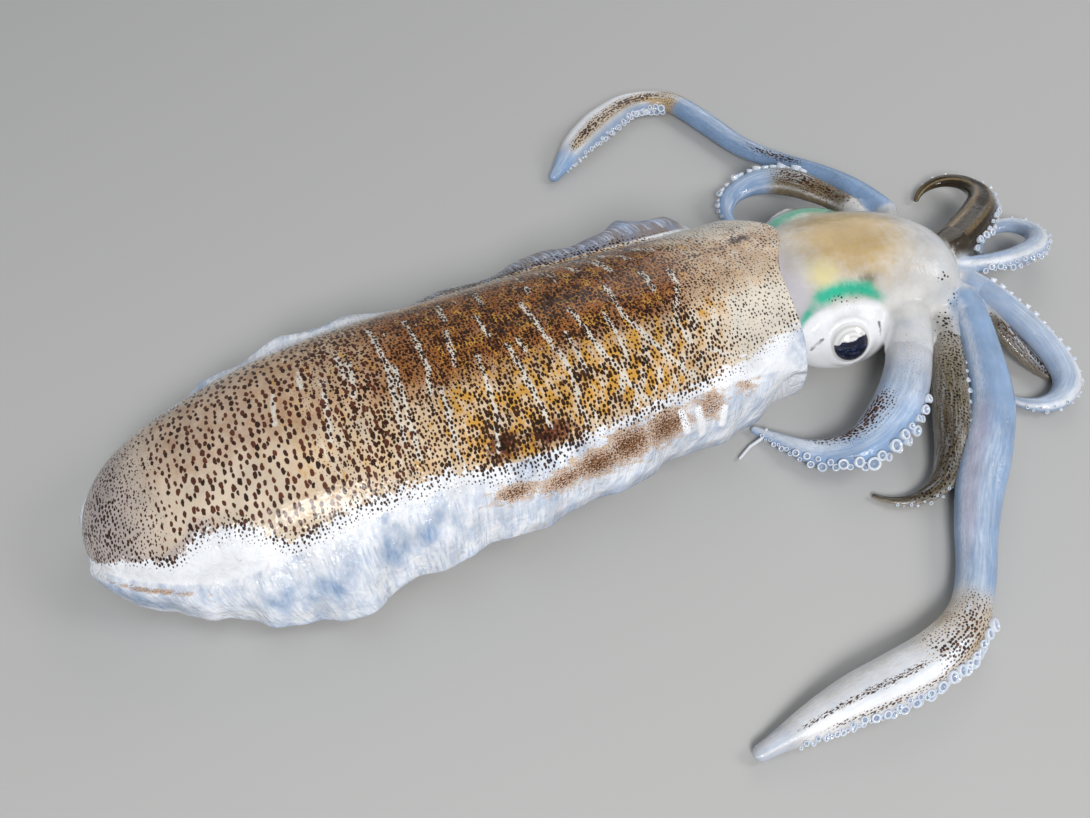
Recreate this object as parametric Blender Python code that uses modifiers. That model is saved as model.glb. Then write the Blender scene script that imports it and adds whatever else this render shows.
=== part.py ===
"""Whole raw bigfin reef squid lying on its belly, with its arms and tentacles spread on the table.

Sizes are in millimetres until they reach a mesh, which is in metres. The tail points to -X, the arms
to +X and the back up. The origin is on the flat of the belly, under the widest part of the mantle.
"""
import math

import bmesh
import bpy
from mathutils import Matrix, Vector

MM = 0.001

# Mantle, the closed sack of the body
MANTLE_LENGTH = 177.0
TAIL_X = -93.0
MANTLE_HALF_WIDTH = 31.0
FRONT_NARROWING = 0.10
MANTLE_TOP = 39.0
TAIL_LIFT = 9.0
TAIL_TOP = 11.0
BELLY_FLATTEN = 2.5
LIP_THICKNESS = 2.2
COLLAR_DEPTH = 7.0
BACK_LOBE = 8.0
BACK_LOBE_Y = 7.0
BACK_LOBE_SPREAD = 10.0
MANTLE_SIDES = 34
MANTLE_RINGS = 24
RING_CROWDING = 1.7

# Fins, two thin ribbons that run along the sides and meet round the tail
FIN_THICKNESS = 1.5
FIN_FRONT = 0.985
FIN_ROOT_DEPTH = 2.5
RUFFLE = 1.3
RUFFLE_LIFT = 0.6
RUFFLES = 9
FIN_SWELL = 1.6
FIN_CROWDING = 1.5
FIN_COLUMNS = 90

# Each fin row: place along the mantle from tail to front, angle of the root above the side, overhang
# past the mantle's side and height of the free edge
NEAR_FIN = [
    (0.00, 0.0, 0.6, 4.5), (0.10, 0.0, 1.6, 3.5), (0.20, 8.0, 5.5, 3.5), (0.30, 18.0, 9.5, 4.5),
    (0.40, 24.0, 6.5, 7.5), (0.60, 26.0, 5.0, 9.0), (0.75, 26.0, 3.0, 9.5), (0.92, 22.0, 0.5, 8.0),
    (1.00, 10.0, -1.0, 9.0)]
FAR_FIN = [
    (0.00, 0.0, 0.6, 4.5), (0.12, 6.0, 2.5, 10.0), (0.25, 16.0, 3.5, 17.0), (0.38, 24.0, 3.0, 22.0),
    (0.50, 26.0, 6.0, 13.0), (0.64, 28.0, 6.0, 17.0), (0.80, 32.0, 3.6, 27.5), (0.93, 32.0, 3.0, 29.5),
    (1.00, 20.0, -1.0, 24.0)]

# Head with an eye bulge on each side
HEAD_CENTRE = (112.0, 5.0, 15.0)
HEAD_HALF_LENGTH = 34.5
HEAD_HALF_WIDTH = 20.0
HEAD_HALF_HEIGHT = 14.6
HEAD_TURN = 7.0
FRONT_BLUNTNESS = 3.4
NECK_BLUNTNESS = 2.4
HEAD_ROUNDNESS = 1.0 / 2.2
EYE_BULGE = (17.0, 12.5, 10.8)
EYE_CENTRES = {"eye_right": (107.5, -9.0, 11.0), "eye_left": (112.0, 17.0, 15.0)}
EYE_DIRECTIONS = {"eye_right": (-0.24, -0.90, 0.44), "eye_left": (0.0, 0.99, -0.10)}
LENS_RADIUS = 6.6
LENS_SEAT = 4.7
LENS_GAP = 0.3

# Funnel, the short water spout below the neck
FUNNEL_START = (84.0, 3.0, 6.6)
FUNNEL_END = (108.0, 3.0, 5.0)
FUNNEL_RADII = (6.4, 3.6)

# Arms and tentacles
ARM_FLATNESS = 0.82
CROWN = (134.0, 3.0, 13.0)
CROWN_SHARE = 0.35
FLOOR_GAP = 0.25
POINT_SPACING = 4.0
TUBE_BEVEL_STEPS = 2
TIP_ROUND = 0.8
TIP_SHARE = 0.5

# Each limb: root x, root y, root height, share of its length by which it has come down to the table,
# length, compass headings in degrees at even steps along it, and full widths at even steps along it
LIMBS = {
    "arm_a": (121, -21, 15, 0.8, 67, (-120, -125, -140, -160, -210, -240, -235),
              (12, 12, 13, 12.5, 9, 5, 2)),
    "arm_b": (134, -20, 12, 0.9, 68, (-120, -120, -120, -120, -135, -185, -235),
              (9, 9, 9.4, 9.5, 7.4, 3.8, 1.4)),
    "arm_c": (148, -9, 13, 0.8, 59, (-60, -65, -70, -70, -80, -100, -155, -205, -245),
              (6.5, 7.2, 7.8, 8, 7.8, 7.8, 6.8, 4.4, 2.2)),
    "arm_d": (148, -5, 14, 1.0, 66, (-15, -10, 0, 10, 20, 45, 90, 150, 205, 250),
              (5, 5.4, 5.8, 6.5, 7, 6.8, 6, 4.8, 4, 2.2)),
    "arm_e": (147, 1, 14, 1.2, 66, (15, 25, 30, 40, 55, 95, 165, 225),
              (10.5, 11.2, 11.6, 10.8, 8, 5.4, 4, 1.4)),
    "arm_f": (135, 28, 14, 1.1, 54, (110, 110, 110, 125, 150, 190, 250, 330),
              (7, 7.4, 8.8, 9.8, 9, 6.8, 4.6, 1.8)),
    "arm_g": (137, -22, 9, 0.9, 30, (-110, -110, -110, -105), (6, 5.5, 4.5, 2)),
    "arm_h": (148, -22, 9, 0.9, 24, (-75, -70, -60, -60), (6, 6, 5, 2)),
    "tentacle_near": (142, -16, 15, 0.4, 158,
                      (-105, -110, -110, -130, -135, -130, -125, -135, -160, -175, -180, -175, -175),
                      (8, 9.8, 10.6, 11.8, 12.7, 11.2, 9.7, 9.2, 11.2, 12.2, 11.4, 8, 3.6)),
    "tentacle_far": (143, 21, 15, 0.45, 150,
                     (95, 100, 105, 110, 110, 105, 105, 110, 175, 205, 210, 215, 220),
                     (6.5, 7.2, 7.2, 6.8, 6.8, 7.1, 7.6, 7.5, 7.6, 9.6, 10.6, 9, 3.2)),
}

# Sucker rows: side of travel (1 left, -1 right), start and end along the limb, count, radius at the
# start and at the end
SUCKERS = {
    "arm_a": (1, 0.22, 0.92, 13, 1.9, 0.8),
    "arm_b": (1, 0.15, 0.85, 11, 1.1, 0.7),
    "arm_c": (1, 0.12, 0.88, 12, 1.3, 0.7),
    "arm_d": (-1, 0.15, 0.85, 12, 1.2, 0.7),
    "arm_e": (-1, 0.20, 0.85, 11, 1.2, 0.7),
    "arm_f": (-1, 0.15, 0.85, 11, 1.2, 0.7),
    "tentacle_near": (1, 0.54, 0.95, 18, 1.7, 0.8),
    "tentacle_far": (1, 0.62, 0.96, 15, 1.4, 0.8),
}
SUCKER_SIDES = 6
SUCKER_DEPTH = 2.2
SUCKER_SEAT = 0.92
SUCKER_STAND = 0.2
SUCKER_RISE = 20.0


def smooth(value):
    """Ease from 0 to 1, level at both ends."""
    value = min(max(value, 0.0), 1.0)
    return value * value * (3.0 - 2.0 * value)


def between(knots, place):
    """Read a smooth curve through (place, value) knots that never overshoots them."""
    places, values = zip(*knots)
    slopes = [(after - before) / (high - low)
              for before, after, low, high in zip(values, values[1:], places, places[1:])]
    inner = [2.0 * a * b / (a + b) if a * b > 0.0 else 0.0 for a, b in zip(slopes, slopes[1:])]
    tangents = [slopes[0]] + inner + [slopes[-1]]
    place = min(max(place, places[0]), places[-1])
    index = max(i for i in range(len(slopes)) if place >= places[i])
    width = places[index + 1] - places[index]
    share = (place - places[index]) / width
    rise = values[index + 1] - values[index]
    bend = (tangents[index] * (1.0 - share) - tangents[index + 1] * share) * width
    bend += rise * (2.0 * share - 1.0)
    return values[index] + rise * share + share * (1.0 - share) * bend


def evenly(values, place):
    """Read a list of values spread evenly from 0 to 1, straight between neighbours."""
    position = min(max(place, 0.0), 1.0) * (len(values) - 1)
    index = min(int(position), len(values) - 2)
    return values[index] + (values[index + 1] - values[index]) * (position - index)


def half_width(t):
    nose = min(t / 0.42, 1.0)
    blunt = (1.0 - (1.0 - nose) ** 2.3) ** (1.0 / 2.1)
    return MANTLE_HALF_WIDTH * blunt * (1.0 - FRONT_NARROWING * smooth((t - 0.6) / 0.4))


def top_height(t):
    nose = min(t / 0.5, 1.0)
    blunt = (1.0 - (1.0 - nose) ** 2.2) ** (1.0 / 1.9)
    return TAIL_TOP + (MANTLE_TOP - TAIL_TOP) * blunt


def bottom_height(t):
    return TAIL_LIFT - (TAIL_LIFT + BELLY_FLATTEN) * smooth(t / 0.20)


def mantle_point(t, angle, inset=0.0):
    """A point of the mantle's skin: t from tail to front, angle from the far side over the back."""
    top = top_height(t)
    bottom = bottom_height(t)
    y = max(half_width(t) - inset, 0.0) * math.cos(angle)
    z = (top + bottom) / 2.0 + max((top - bottom) / 2.0 - inset, 0.0) * math.sin(angle)
    lobe = math.exp(-((y - BACK_LOBE_Y) / BACK_LOBE_SPREAD) ** 2) * max(math.sin(angle), 0.0)
    x = TAIL_X + MANTLE_LENGTH * t + BACK_LOBE * lobe * smooth((t - 0.7) / 0.3)
    return Vector((x, y, max(z, min(inset, 2.0 * LIP_THICKNESS))))


def mantle_stations():
    """Places along the mantle from the tail to the lip, then back inside the collar."""
    skin = [((ring / MANTLE_RINGS) ** RING_CROWDING, 0.0) for ring in range(MANTLE_RINGS + 1)]
    wall = COLLAR_DEPTH / MANTLE_LENGTH
    lip = [(1.003, 0.6 * LIP_THICKNESS), (1.0, LIP_THICKNESS), (1.0 - wall / 2, 1.3 * LIP_THICKNESS)]
    floor = [(1.0 - wall, 2.0 * LIP_THICKNESS), (1.0 - wall, MANTLE_HALF_WIDTH / 2.0),
             (1.0 - wall, 2.0 * MANTLE_HALF_WIDTH)]
    return skin + lip + floor


def add_material(thing, name, colour, roughness):
    material = bpy.data.materials.new(name)
    material.use_nodes = True
    shader = material.node_tree.nodes["Principled BSDF"]
    shader.inputs["Base Color"].default_value = (*colour, 1.0)
    shader.inputs["Roughness"].default_value = roughness
    shader.inputs["Metallic"].default_value = 0.0
    thing.data.materials.clear()
    thing.data.materials.append(material)


def take(thing, collection):
    """Move an object out of every collection and into one."""
    for old in list(thing.users_collection):
        old.objects.unlink(thing)
    collection.objects.link(thing)
    return thing


def new_object(name, mesh, collection):
    thing = bpy.data.objects.new(name, mesh)
    collection.objects.link(thing)
    return thing


def ball(name, collection, sides, rings):
    """A unit sphere to be reshaped, with its poles on Z."""
    bpy.ops.mesh.primitive_uv_sphere_add(segments=sides, ring_count=rings, radius=1.0)
    thing = bpy.context.object
    thing.name = name
    return take(thing, collection)


def make_mantle(collection):
    stations = mantle_stations()
    thing = ball("mantle", collection, MANTLE_SIDES, len(stations) - 1)
    for vertex in thing.data.vertices:
        ring = round(math.acos(min(max(vertex.co.z, -1.0), 1.0)) / math.pi * (len(stations) - 1))
        t, inset = stations[ring]
        angle = math.atan2(vertex.co.y, vertex.co.x)
        vertex.co = mantle_point(t, angle, inset) * MM
    return face_outward(thing)


def face_outward(thing):
    shape = bmesh.new()
    shape.from_mesh(thing.data)
    bmesh.ops.remove_doubles(shape, verts=shape.verts, dist=0.00001)
    bmesh.ops.recalc_face_normals(shape, faces=shape.faces)
    shape.to_mesh(thing.data)
    shape.free()
    return thing


def fin_point(run, across):
    """A point of the fins: run from -1, near side front, by the tail to 1, across from root to edge."""
    rows, side = (FAR_FIN, 1) if run > 0.0 else (NEAR_FIN, -1)
    t = abs(run) ** FIN_CROWDING * FIN_FRONT
    places, *columns = zip(*rows)
    angle, overhang, edge_height = (between(list(zip(places, column)), t) for column in columns)
    edge = Vector((TAIL_X + MANTLE_LENGTH * t, side * half_width(t), 0.0))
    t_ahead = t + 0.004
    ahead = Vector((TAIL_X + MANTLE_LENGTH * t_ahead, side * half_width(t_ahead), 0.0))
    forward = (ahead - edge).normalized()
    outward = Vector((-forward.y, forward.x, 0.0)) * side
    surface = mantle_point(t, math.radians(angle))
    root = Vector((edge.x, side * surface.y, surface.z)) - outward * FIN_ROOT_DEPTH
    calm_ends = smooth(t / 0.2) * smooth((1.0 - t) / 0.15)
    ruffle = RUFFLE * math.sin(2.0 * math.pi * RUFFLES * abs(run)) * calm_ends
    edge += outward * (overhang + ruffle)
    edge.z = edge_height + RUFFLE_LIFT * ruffle
    swell = math.sin(math.pi * across) * FIN_SWELL
    return root.lerp(edge, across) + outward * swell + Vector((0.0, 0.0, swell))


def make_fins(collection):
    bpy.ops.mesh.primitive_grid_add(x_subdivisions=FIN_COLUMNS, y_subdivisions=3, size=2.0)
    thing = take(bpy.context.object, collection)
    thing.name = "fins"
    for vertex in thing.data.vertices:
        vertex.co = fin_point(vertex.co.x, (vertex.co.y + 1.0) / 2.0) * MM
    wall = thing.modifiers.new("wall", "SOLIDIFY")
    wall.thickness = FIN_THICKNESS * MM
    wall.offset = 0.0
    return apply_modifiers(thing)


def apply_modifiers(thing):
    """Replace an object's mesh by what its modifiers make of it."""
    evaluated = thing.evaluated_get(bpy.context.evaluated_depsgraph_get())
    mesh = bpy.data.meshes.new_from_object(evaluated)
    thing.modifiers.clear()
    thing.data = mesh
    return face_outward(thing)


def make_head(collection):
    """An egg with a blunt front that turns a little to the near side."""
    thing = ball("head", collection, 22, 15)
    for vertex in thing.data.vertices:
        forward = vertex.co.z
        around = Vector((vertex.co.x, vertex.co.y, 0.0))
        blunt = FRONT_BLUNTNESS if forward > 0.0 else NECK_BLUNTNESS
        around = around.normalized() * (1.0 - min(abs(forward), 1.0) ** blunt) ** HEAD_ROUNDNESS
        turn = -HEAD_TURN * smooth(forward)
        side = around.y * HEAD_HALF_WIDTH + turn
        rise = around.x * HEAD_HALF_HEIGHT
        vertex.co = (Vector(HEAD_CENTRE) + Vector((forward * HEAD_HALF_LENGTH, side, rise))) * MM
    return face_outward(thing)


def on_eye_bulge(name, direction):
    """A point of an eye bulge, in a direction from its centre."""
    offset = [part * reach for part, reach in zip(direction, EYE_BULGE)]
    return Vector(EYE_CENTRES[name]) + Vector(offset)


def make_eye_bulge(name, collection):
    thing = ball(name + "_bulge", collection, 14, 9)
    for vertex in thing.data.vertices:
        vertex.co = on_eye_bulge(name, vertex.co) * MM
    return face_outward(thing)


def make_lens(name, collection, radius):
    """A ball set into the bulge so that only its outer cap shows."""
    thing = ball(name, collection, 12, 8)
    outward = Vector(EYE_DIRECTIONS[name]).normalized()
    centre = on_eye_bulge(name, outward) - outward * LENS_SEAT
    for vertex in thing.data.vertices:
        vertex.co = (centre + vertex.co * radius) * MM
    return face_outward(thing)


def make_funnel(collection):
    start = Vector(FUNNEL_START)
    run = Vector(FUNNEL_END) - start
    turn = run.to_track_quat("Z", "Y").to_matrix().to_4x4()
    place = Matrix.Translation((start + run / 2) * MM) @ turn
    shape = bmesh.new()
    bmesh.ops.create_cone(shape, cap_ends=True, segments=14, radius1=FUNNEL_RADII[0] * MM,
                          radius2=FUNNEL_RADII[1] * MM, depth=run.length * MM, matrix=place)
    mesh = bpy.data.meshes.new("funnel")
    shape.to_mesh(mesh)
    shape.free()
    return new_object("funnel", mesh, collection)


def limb_path(name):
    """The centre line of a limb from root to tip, as (point, half width, heading in degrees)."""
    root_x, root_y, root_height, landing, length, headings, widths = LIMBS[name]
    steps = round(length / POINT_SPACING)
    point = Vector((root_x, root_y, 0.0))
    path = []
    for index in range(steps + 1):
        place = index / steps
        heading = evenly(headings, place)
        half = evenly(widths, place) / 2.0
        rest = half * ARM_FLATNESS + FLOOR_GAP
        height = rest + (root_height - rest) * (1.0 - smooth(place / landing))
        path.append((Vector((point.x, point.y, max(height, rest))), half, heading))
        middle = math.radians(evenly(headings, place + 0.5 / steps))
        point += Vector((math.cos(middle), math.sin(middle), 0.0)) * length / steps
    return path


def make_limb(name, collection):
    path = limb_path(name)
    root, root_half, _ = path[0]
    end, end_half, _ = path[-1]
    inner = Vector(CROWN).lerp(root, CROWN_SHARE)
    tip = end + (end - path[-2][0]).normalized() * end_half * TIP_ROUND
    points = [(inner, root_half)]
    points += [(point, half) for point, half, _ in path]
    points += [(tip, end_half * TIP_SHARE)]
    curve = bpy.data.curves.new(name, "CURVE")
    curve.dimensions = "3D"
    curve.bevel_depth = 1.0
    curve.bevel_resolution = TUBE_BEVEL_STEPS
    curve.use_fill_caps = True
    spline = curve.splines.new("POLY")
    spline.points.add(len(points) - 1)
    for knot, (place, half) in zip(spline.points, points):
        knot.co = (place.x * MM, place.y * MM, place.z * MM / ARM_FLATNESS, 1.0)
        knot.radius = half * MM
    guide = new_object(name + "_line", curve, collection)
    guide.scale.z = ARM_FLATNESS
    bpy.context.view_layer.update()
    evaluated = guide.evaluated_get(bpy.context.evaluated_depsgraph_get())
    mesh = bpy.data.meshes.new_from_object(evaluated)
    mesh.transform(guide.matrix_world)
    bpy.data.objects.remove(guide)
    return face_outward(new_object(name, mesh, collection))


def make_suckers(name, collection):
    side, start, end, count, first_radius, last_radius = SUCKERS[name]
    path = limb_path(name)
    shape = bmesh.new()
    for index in range(count):
        share = index / (count - 1)
        place = start + (end - start) * share
        position = place * (len(path) - 1)
        step = min(int(position), len(path) - 2)
        part = position - step
        centre = path[step][0].lerp(path[step + 1][0], part)
        half = path[step][1] + (path[step + 1][1] - path[step][1]) * part
        heading = path[step][2] + (path[step + 1][2] - path[step][2]) * part
        level = math.radians(heading + 90.0 * side)
        rise = math.radians(SUCKER_RISE if index % 2 else -SUCKER_RISE)
        outward = Vector((math.cos(level), math.sin(level), math.tan(rise))).normalized()
        radius = first_radius + (last_radius - first_radius) * share
        flat = Vector((outward.x * half, outward.y * half, outward.z * half * ARM_FLATNESS))
        seat = centre + flat * SUCKER_SEAT + outward * SUCKER_STAND
        seat.z = max(seat.z, FLOOR_GAP + radius)
        turn = outward.to_track_quat("Z", "Y").to_matrix().to_4x4()
        bmesh.ops.create_cone(shape, cap_ends=True, segments=SUCKER_SIDES, radius1=0.75 * radius * MM,
                              radius2=radius * MM, depth=SUCKER_DEPTH * MM,
                              matrix=Matrix.Translation(seat * MM) @ turn)
    mesh = bpy.data.meshes.new(name + "_suckers")
    shape.to_mesh(mesh)
    shape.free()
    return new_object(name + "_suckers", mesh, collection)


def join(target, pieces, operation):
    """One Boolean with a whole collection, applied, after which the collection's objects go."""
    change = target.modifiers.new("join", "BOOLEAN")
    change.operation = operation
    change.operand_type = "COLLECTION"
    change.collection = pieces
    change.solver = "EXACT"
    apply_modifiers(target)
    for thing in list(pieces.objects):
        bpy.data.objects.remove(thing)


def new_collection(name):
    collection = bpy.data.collections.new(name)
    bpy.context.scene.collection.children.link(collection)
    return collection


def hide_cutter(thing):
    thing.hide_render = True
    thing.display_type = "WIRE"
    return thing


def main():
    for thing in list(bpy.data.objects):
        bpy.data.objects.remove(thing)
    squid = new_collection("whole_raw_squid")
    fused = new_collection("pieces_to_fuse")
    cutters = new_collection("cutters")

    body = make_mantle(squid)
    body.name = "squid"
    make_fins(fused)
    make_head(fused)
    make_funnel(fused)
    for name in EYE_CENTRES:
        make_eye_bulge(name, fused)
    for name in LIMBS:
        make_limb(name, fused)
    for name in SUCKERS:
        make_suckers(name, fused)
    join(body, fused, "UNION")

    for name in EYE_CENTRES:
        hide_cutter(make_lens(name, cutters, LENS_RADIUS + LENS_GAP)).name = name + "_socket"
    join(body, cutters, "DIFFERENCE")
    body.data.shade_smooth()
    add_material(body, "squid_skin", (0.62, 0.50, 0.36), 0.25)
    for name in EYE_CENTRES:
        lens = make_lens(name, squid, LENS_RADIUS)
        lens.data.shade_smooth()
        add_material(lens, name + "_lens", (0.01, 0.012, 0.03), 0.05)


main()
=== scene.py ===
"""Looks of a whole raw bigfin reef squid that lies on its belly with its arms spread out.

Sizes are in millimetres until they reach a mesh, which is in metres. The tail points to -X, the arms
to +X and the back up. The near side is the squid's right side, at -Y.
"""

import math
from types import SimpleNamespace

import bmesh
import bpy
import numpy as np
from mathutils import Matrix, Vector

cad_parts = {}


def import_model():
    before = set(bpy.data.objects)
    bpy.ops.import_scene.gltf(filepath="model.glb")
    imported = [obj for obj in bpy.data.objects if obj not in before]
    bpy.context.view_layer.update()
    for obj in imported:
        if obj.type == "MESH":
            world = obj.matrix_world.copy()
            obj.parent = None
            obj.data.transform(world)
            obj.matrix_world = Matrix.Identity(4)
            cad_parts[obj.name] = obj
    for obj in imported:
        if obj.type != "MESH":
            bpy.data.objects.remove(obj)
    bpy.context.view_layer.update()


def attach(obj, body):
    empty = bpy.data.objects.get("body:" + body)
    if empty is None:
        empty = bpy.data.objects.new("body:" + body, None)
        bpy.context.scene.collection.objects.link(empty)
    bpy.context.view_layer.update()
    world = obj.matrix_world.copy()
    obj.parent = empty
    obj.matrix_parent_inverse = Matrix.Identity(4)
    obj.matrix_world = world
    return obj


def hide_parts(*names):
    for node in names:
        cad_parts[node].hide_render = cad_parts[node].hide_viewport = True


MM = 0.001

# Mantle, as in the part
MANTLE_LENGTH = 177.0
TAIL_X = -93.0
MANTLE_HALF_WIDTH = 31.0
FRONT_NARROWING = 0.10
MANTLE_TOP = 39.0
TAIL_LIFT = 9.0
TAIL_TOP = 11.0
BELLY_FLATTEN = 2.5
COLLAR_DEPTH = 7.0
BACK_LOBE = 8.0
BACK_LOBE_Y = 7.0
BACK_LOBE_SPREAD = 10.0
LIP = 1.7
# How the mantle rounds off towards the tail, from above and from the side: share of the length, 2 powers
SIDE_ROUNDING = (0.42, 2.3, 2.1)
TOP_ROUNDING = (0.5, 2.2, 1.9)
# Rows from the tail to the front, crowded at the tail, and points round each stretch of a row
STATIONS = 250
STATION_CROWDING = 1.3
BACK_SIDES = 96
BELLY_SIDES = 46
FIN_UPPER_SIDES = 30
FIN_UNDER_SIDES = 16

# Fins, as in the part: place along the mantle, angle of the root above the side, overhang past the
# mantle's side and height of the free edge
NEAR_FIN = [
    (0.00, 0.0, 0.6, 4.5), (0.10, 0.0, 1.6, 3.5), (0.20, 8.0, 5.5, 3.5), (0.30, 18.0, 9.5, 4.5),
    (0.40, 24.0, 6.5, 7.5), (0.60, 26.0, 5.0, 9.0), (0.75, 26.0, 3.0, 9.5), (0.92, 22.0, 0.5, 8.0),
    (1.00, 10.0, -1.0, 9.0)]
FAR_FIN = [
    (0.00, 0.0, 0.6, 4.5), (0.12, 6.0, 2.5, 10.0), (0.25, 16.0, 3.5, 17.0), (0.38, 24.0, 3.0, 22.0),
    (0.50, 26.0, 6.0, 13.0), (0.64, 28.0, 6.0, 17.0), (0.80, 32.0, 3.6, 27.5), (0.93, 32.0, 3.0, 29.5),
    (1.00, 20.0, -1.0, 24.0)]
# How far below its root the fin's underside meets the mantle, in degrees
NEAR_JOIN = [(0.0, 6.0), (0.2, 9.0), (0.4, 14.0), (0.75, 14.0), (0.92, 10.0), (1.0, 6.0)]
FAR_JOIN = [(0.0, 6.0), (0.2, 8.0), (0.4, 7.0), (1.0, 6.0)]
FIN_FRONT = 0.985
FIN_SWELL = 1.6
UNDER_SWELL = 0.6
FIN_EDGE = 0.9
RUFFLE = 1.3
RUFFLE_LIFT = 0.6
RUFFLES = 9
FIN_CROWDING = 1.5
FIN_FADE = 0.055
# Finer ruffles than the part's
FINE_RUFFLE = 0.5
FINE_RUFFLES = 23

# Head, as in the part
HEAD_CENTRE = (112.0, 5.0, 15.0)
HEAD_HALF_LENGTH = 34.5
HEAD_HALF_WIDTH = 20.0
HEAD_HALF_HEIGHT = 14.6
HEAD_TURN = 7.0
FRONT_BLUNTNESS = 3.4
NECK_BLUNTNESS = 2.4
HEAD_ROUNDNESS = 1.0 / 2.2
EYE_BULGE = (17.0, 12.5, 10.8)
EYE_CENTRES = {"eye_right": (107.5, -9.0, 11.0), "eye_left": (112.0, 17.0, 15.0)}
EYE_DIRECTIONS = {"eye_right": (-0.24, -0.90, 0.44), "eye_left": (0.0, 0.99, -0.10)}
EYEBALL_RADIUS = 6.9
EYEBALL_SEAT = 4.8
FUNNEL_ROUTE = [(84.0, 3.0, 6.6), (108.0, 3.0, 5.0)]
FUNNEL_RADII = (6.3, 3.6)
# Ring of skin round each eye, and how far it sits out from the middle of the eyeball
EYELID_RADIUS = 6.0
EYELID_THICKNESS = 1.9
EYELID_SEAT = 3.2
# Grain of the head's skin, the stretch of each limb that it grows out round, how that stretch swells, how
# far the limbs' colours run onto the head, and which colours those are
HEAD_GRAIN = 0.8
ROOT_STUB = 10.0
ROOT_SWELL = [(0.0, 1.08), (0.5, 1.05), (1.0, 0.80)]
ROOT_REACH = 26.0
ROOT_MARKS = ("blue", "olive", "dark", "freckles", "white", "tan", "flecks", "pink")

# Arms and tentacles, as in the part: root x, root y, root height, share of the length by which it has
# come down to the table, length, headings in degrees and full widths at even steps
ARM_FLATNESS = 0.82
CROWN = (134.0, 3.0, 13.0)
CROWN_SHARE = 0.35
FLOOR_GAP = 0.25
LIMB_SIDES = 40
LIMB_STEP = 1.1
LIMBS = {
    "arm_a": (121, -21, 15, 0.8, 67, (-120, -125, -140, -160, -210, -240, -235),
              (12, 12, 13, 12.5, 9, 5, 2)),
    "arm_b": (134, -20, 12, 0.9, 68, (-120, -120, -120, -120, -135, -185, -235),
              (9, 9, 9.4, 9.5, 7.4, 3.8, 1.4)),
    "arm_c": (148, -9, 13, 0.8, 59, (-60, -65, -70, -70, -80, -100, -155, -205, -245),
              (6.5, 7.2, 7.8, 8, 7.8, 7.8, 6.8, 4.4, 2.2)),
    "arm_d": (148, -5, 14, 1.0, 66, (-15, -10, 0, 10, 20, 45, 90, 150, 205, 250),
              (5, 5.4, 5.8, 6.5, 7, 6.8, 6, 4.8, 4, 2.2)),
    "arm_e": (147, 1, 14, 1.2, 66, (15, 25, 30, 40, 55, 95, 165, 225),
              (10.5, 11.2, 11.6, 10.8, 8, 5.4, 4, 1.4)),
    "arm_f": (135, 28, 14, 1.1, 54, (110, 110, 110, 125, 150, 190, 250, 330),
              (7, 7.4, 8.8, 9.8, 9, 6.8, 4.6, 1.8)),
    "arm_g": (137, -22, 9, 0.9, 30, (-110, -110, -110, -105), (6, 5.5, 4.5, 2)),
    "arm_h": (148, -22, 9, 0.9, 24, (-75, -70, -60, -60), (6, 6, 5, 2)),
    "tentacle_near": (142, -16, 15, 0.4, 158,
                      (-105, -110, -110, -130, -135, -130, -125, -135, -160, -175, -180, -175, -175),
                      (8, 9.8, 10.6, 11.8, 12.7, 11.2, 9.7, 9.2, 11.2, 12.2, 11.4, 8, 3.6)),
    "tentacle_far": (143, 21, 15, 0.45, 150,
                     (95, 100, 105, 110, 110, 105, 105, 110, 175, 205, 210, 215, 220),
                     (6.5, 7.2, 7.2, 6.8, 6.8, 7.1, 7.6, 7.5, 7.6, 9.6, 10.6, 9, 3.2)),
}
# Lengthwise ridges and grooves: angle round the limb from its left side over its top, half spread,
# height as a share of the half width, and the shares of the length where it starts and ends
RIDGES = {
    "arm_a": [(60, 22, -0.05, 0.0, 0.9), (130, 16, 0.06, 0.0, 0.8)],
    "arm_b": [(70, 18, -0.06, 0.0, 0.8), (110, 14, 0.06, 0.0, 0.8), (20, 12, 0.08, 0.1, 0.9)],
    "arm_c": [(85, 16, -0.07, 0.0, 0.8), (20, 12, 0.08, 0.1, 0.9)],
    "arm_d": [(95, 16, -0.07, 0.0, 0.8), (160, 12, 0.08, 0.1, 0.9)],
    "arm_e": [(60, 12, 0.07, 0.0, 0.7), (85, 10, -0.08, 0.0, 0.7), (110, 12, 0.07, 0.0, 0.7),
              (150, 12, -0.05, 0.0, 0.7)],
    "arm_f": [(60, 16, -0.07, 0.0, 0.8), (100, 14, 0.05, 0.0, 0.8)],
    "arm_g": [(90, 16, 0.08, 0.0, 0.9)],
    "arm_h": [(90, 16, 0.08, 0.0, 0.9)],
    "tentacle_near": [(62, 9, -0.10, 0.10, 0.62), (95, 16, 0.05, 0.05, 0.60), (54, 20, 0.12, 0.66, 0.97)],
    "tentacle_far": [(70, 9, -0.08, 0.10, 0.58), (118, 24, 0.10, 0.64, 0.97)],
}
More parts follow.
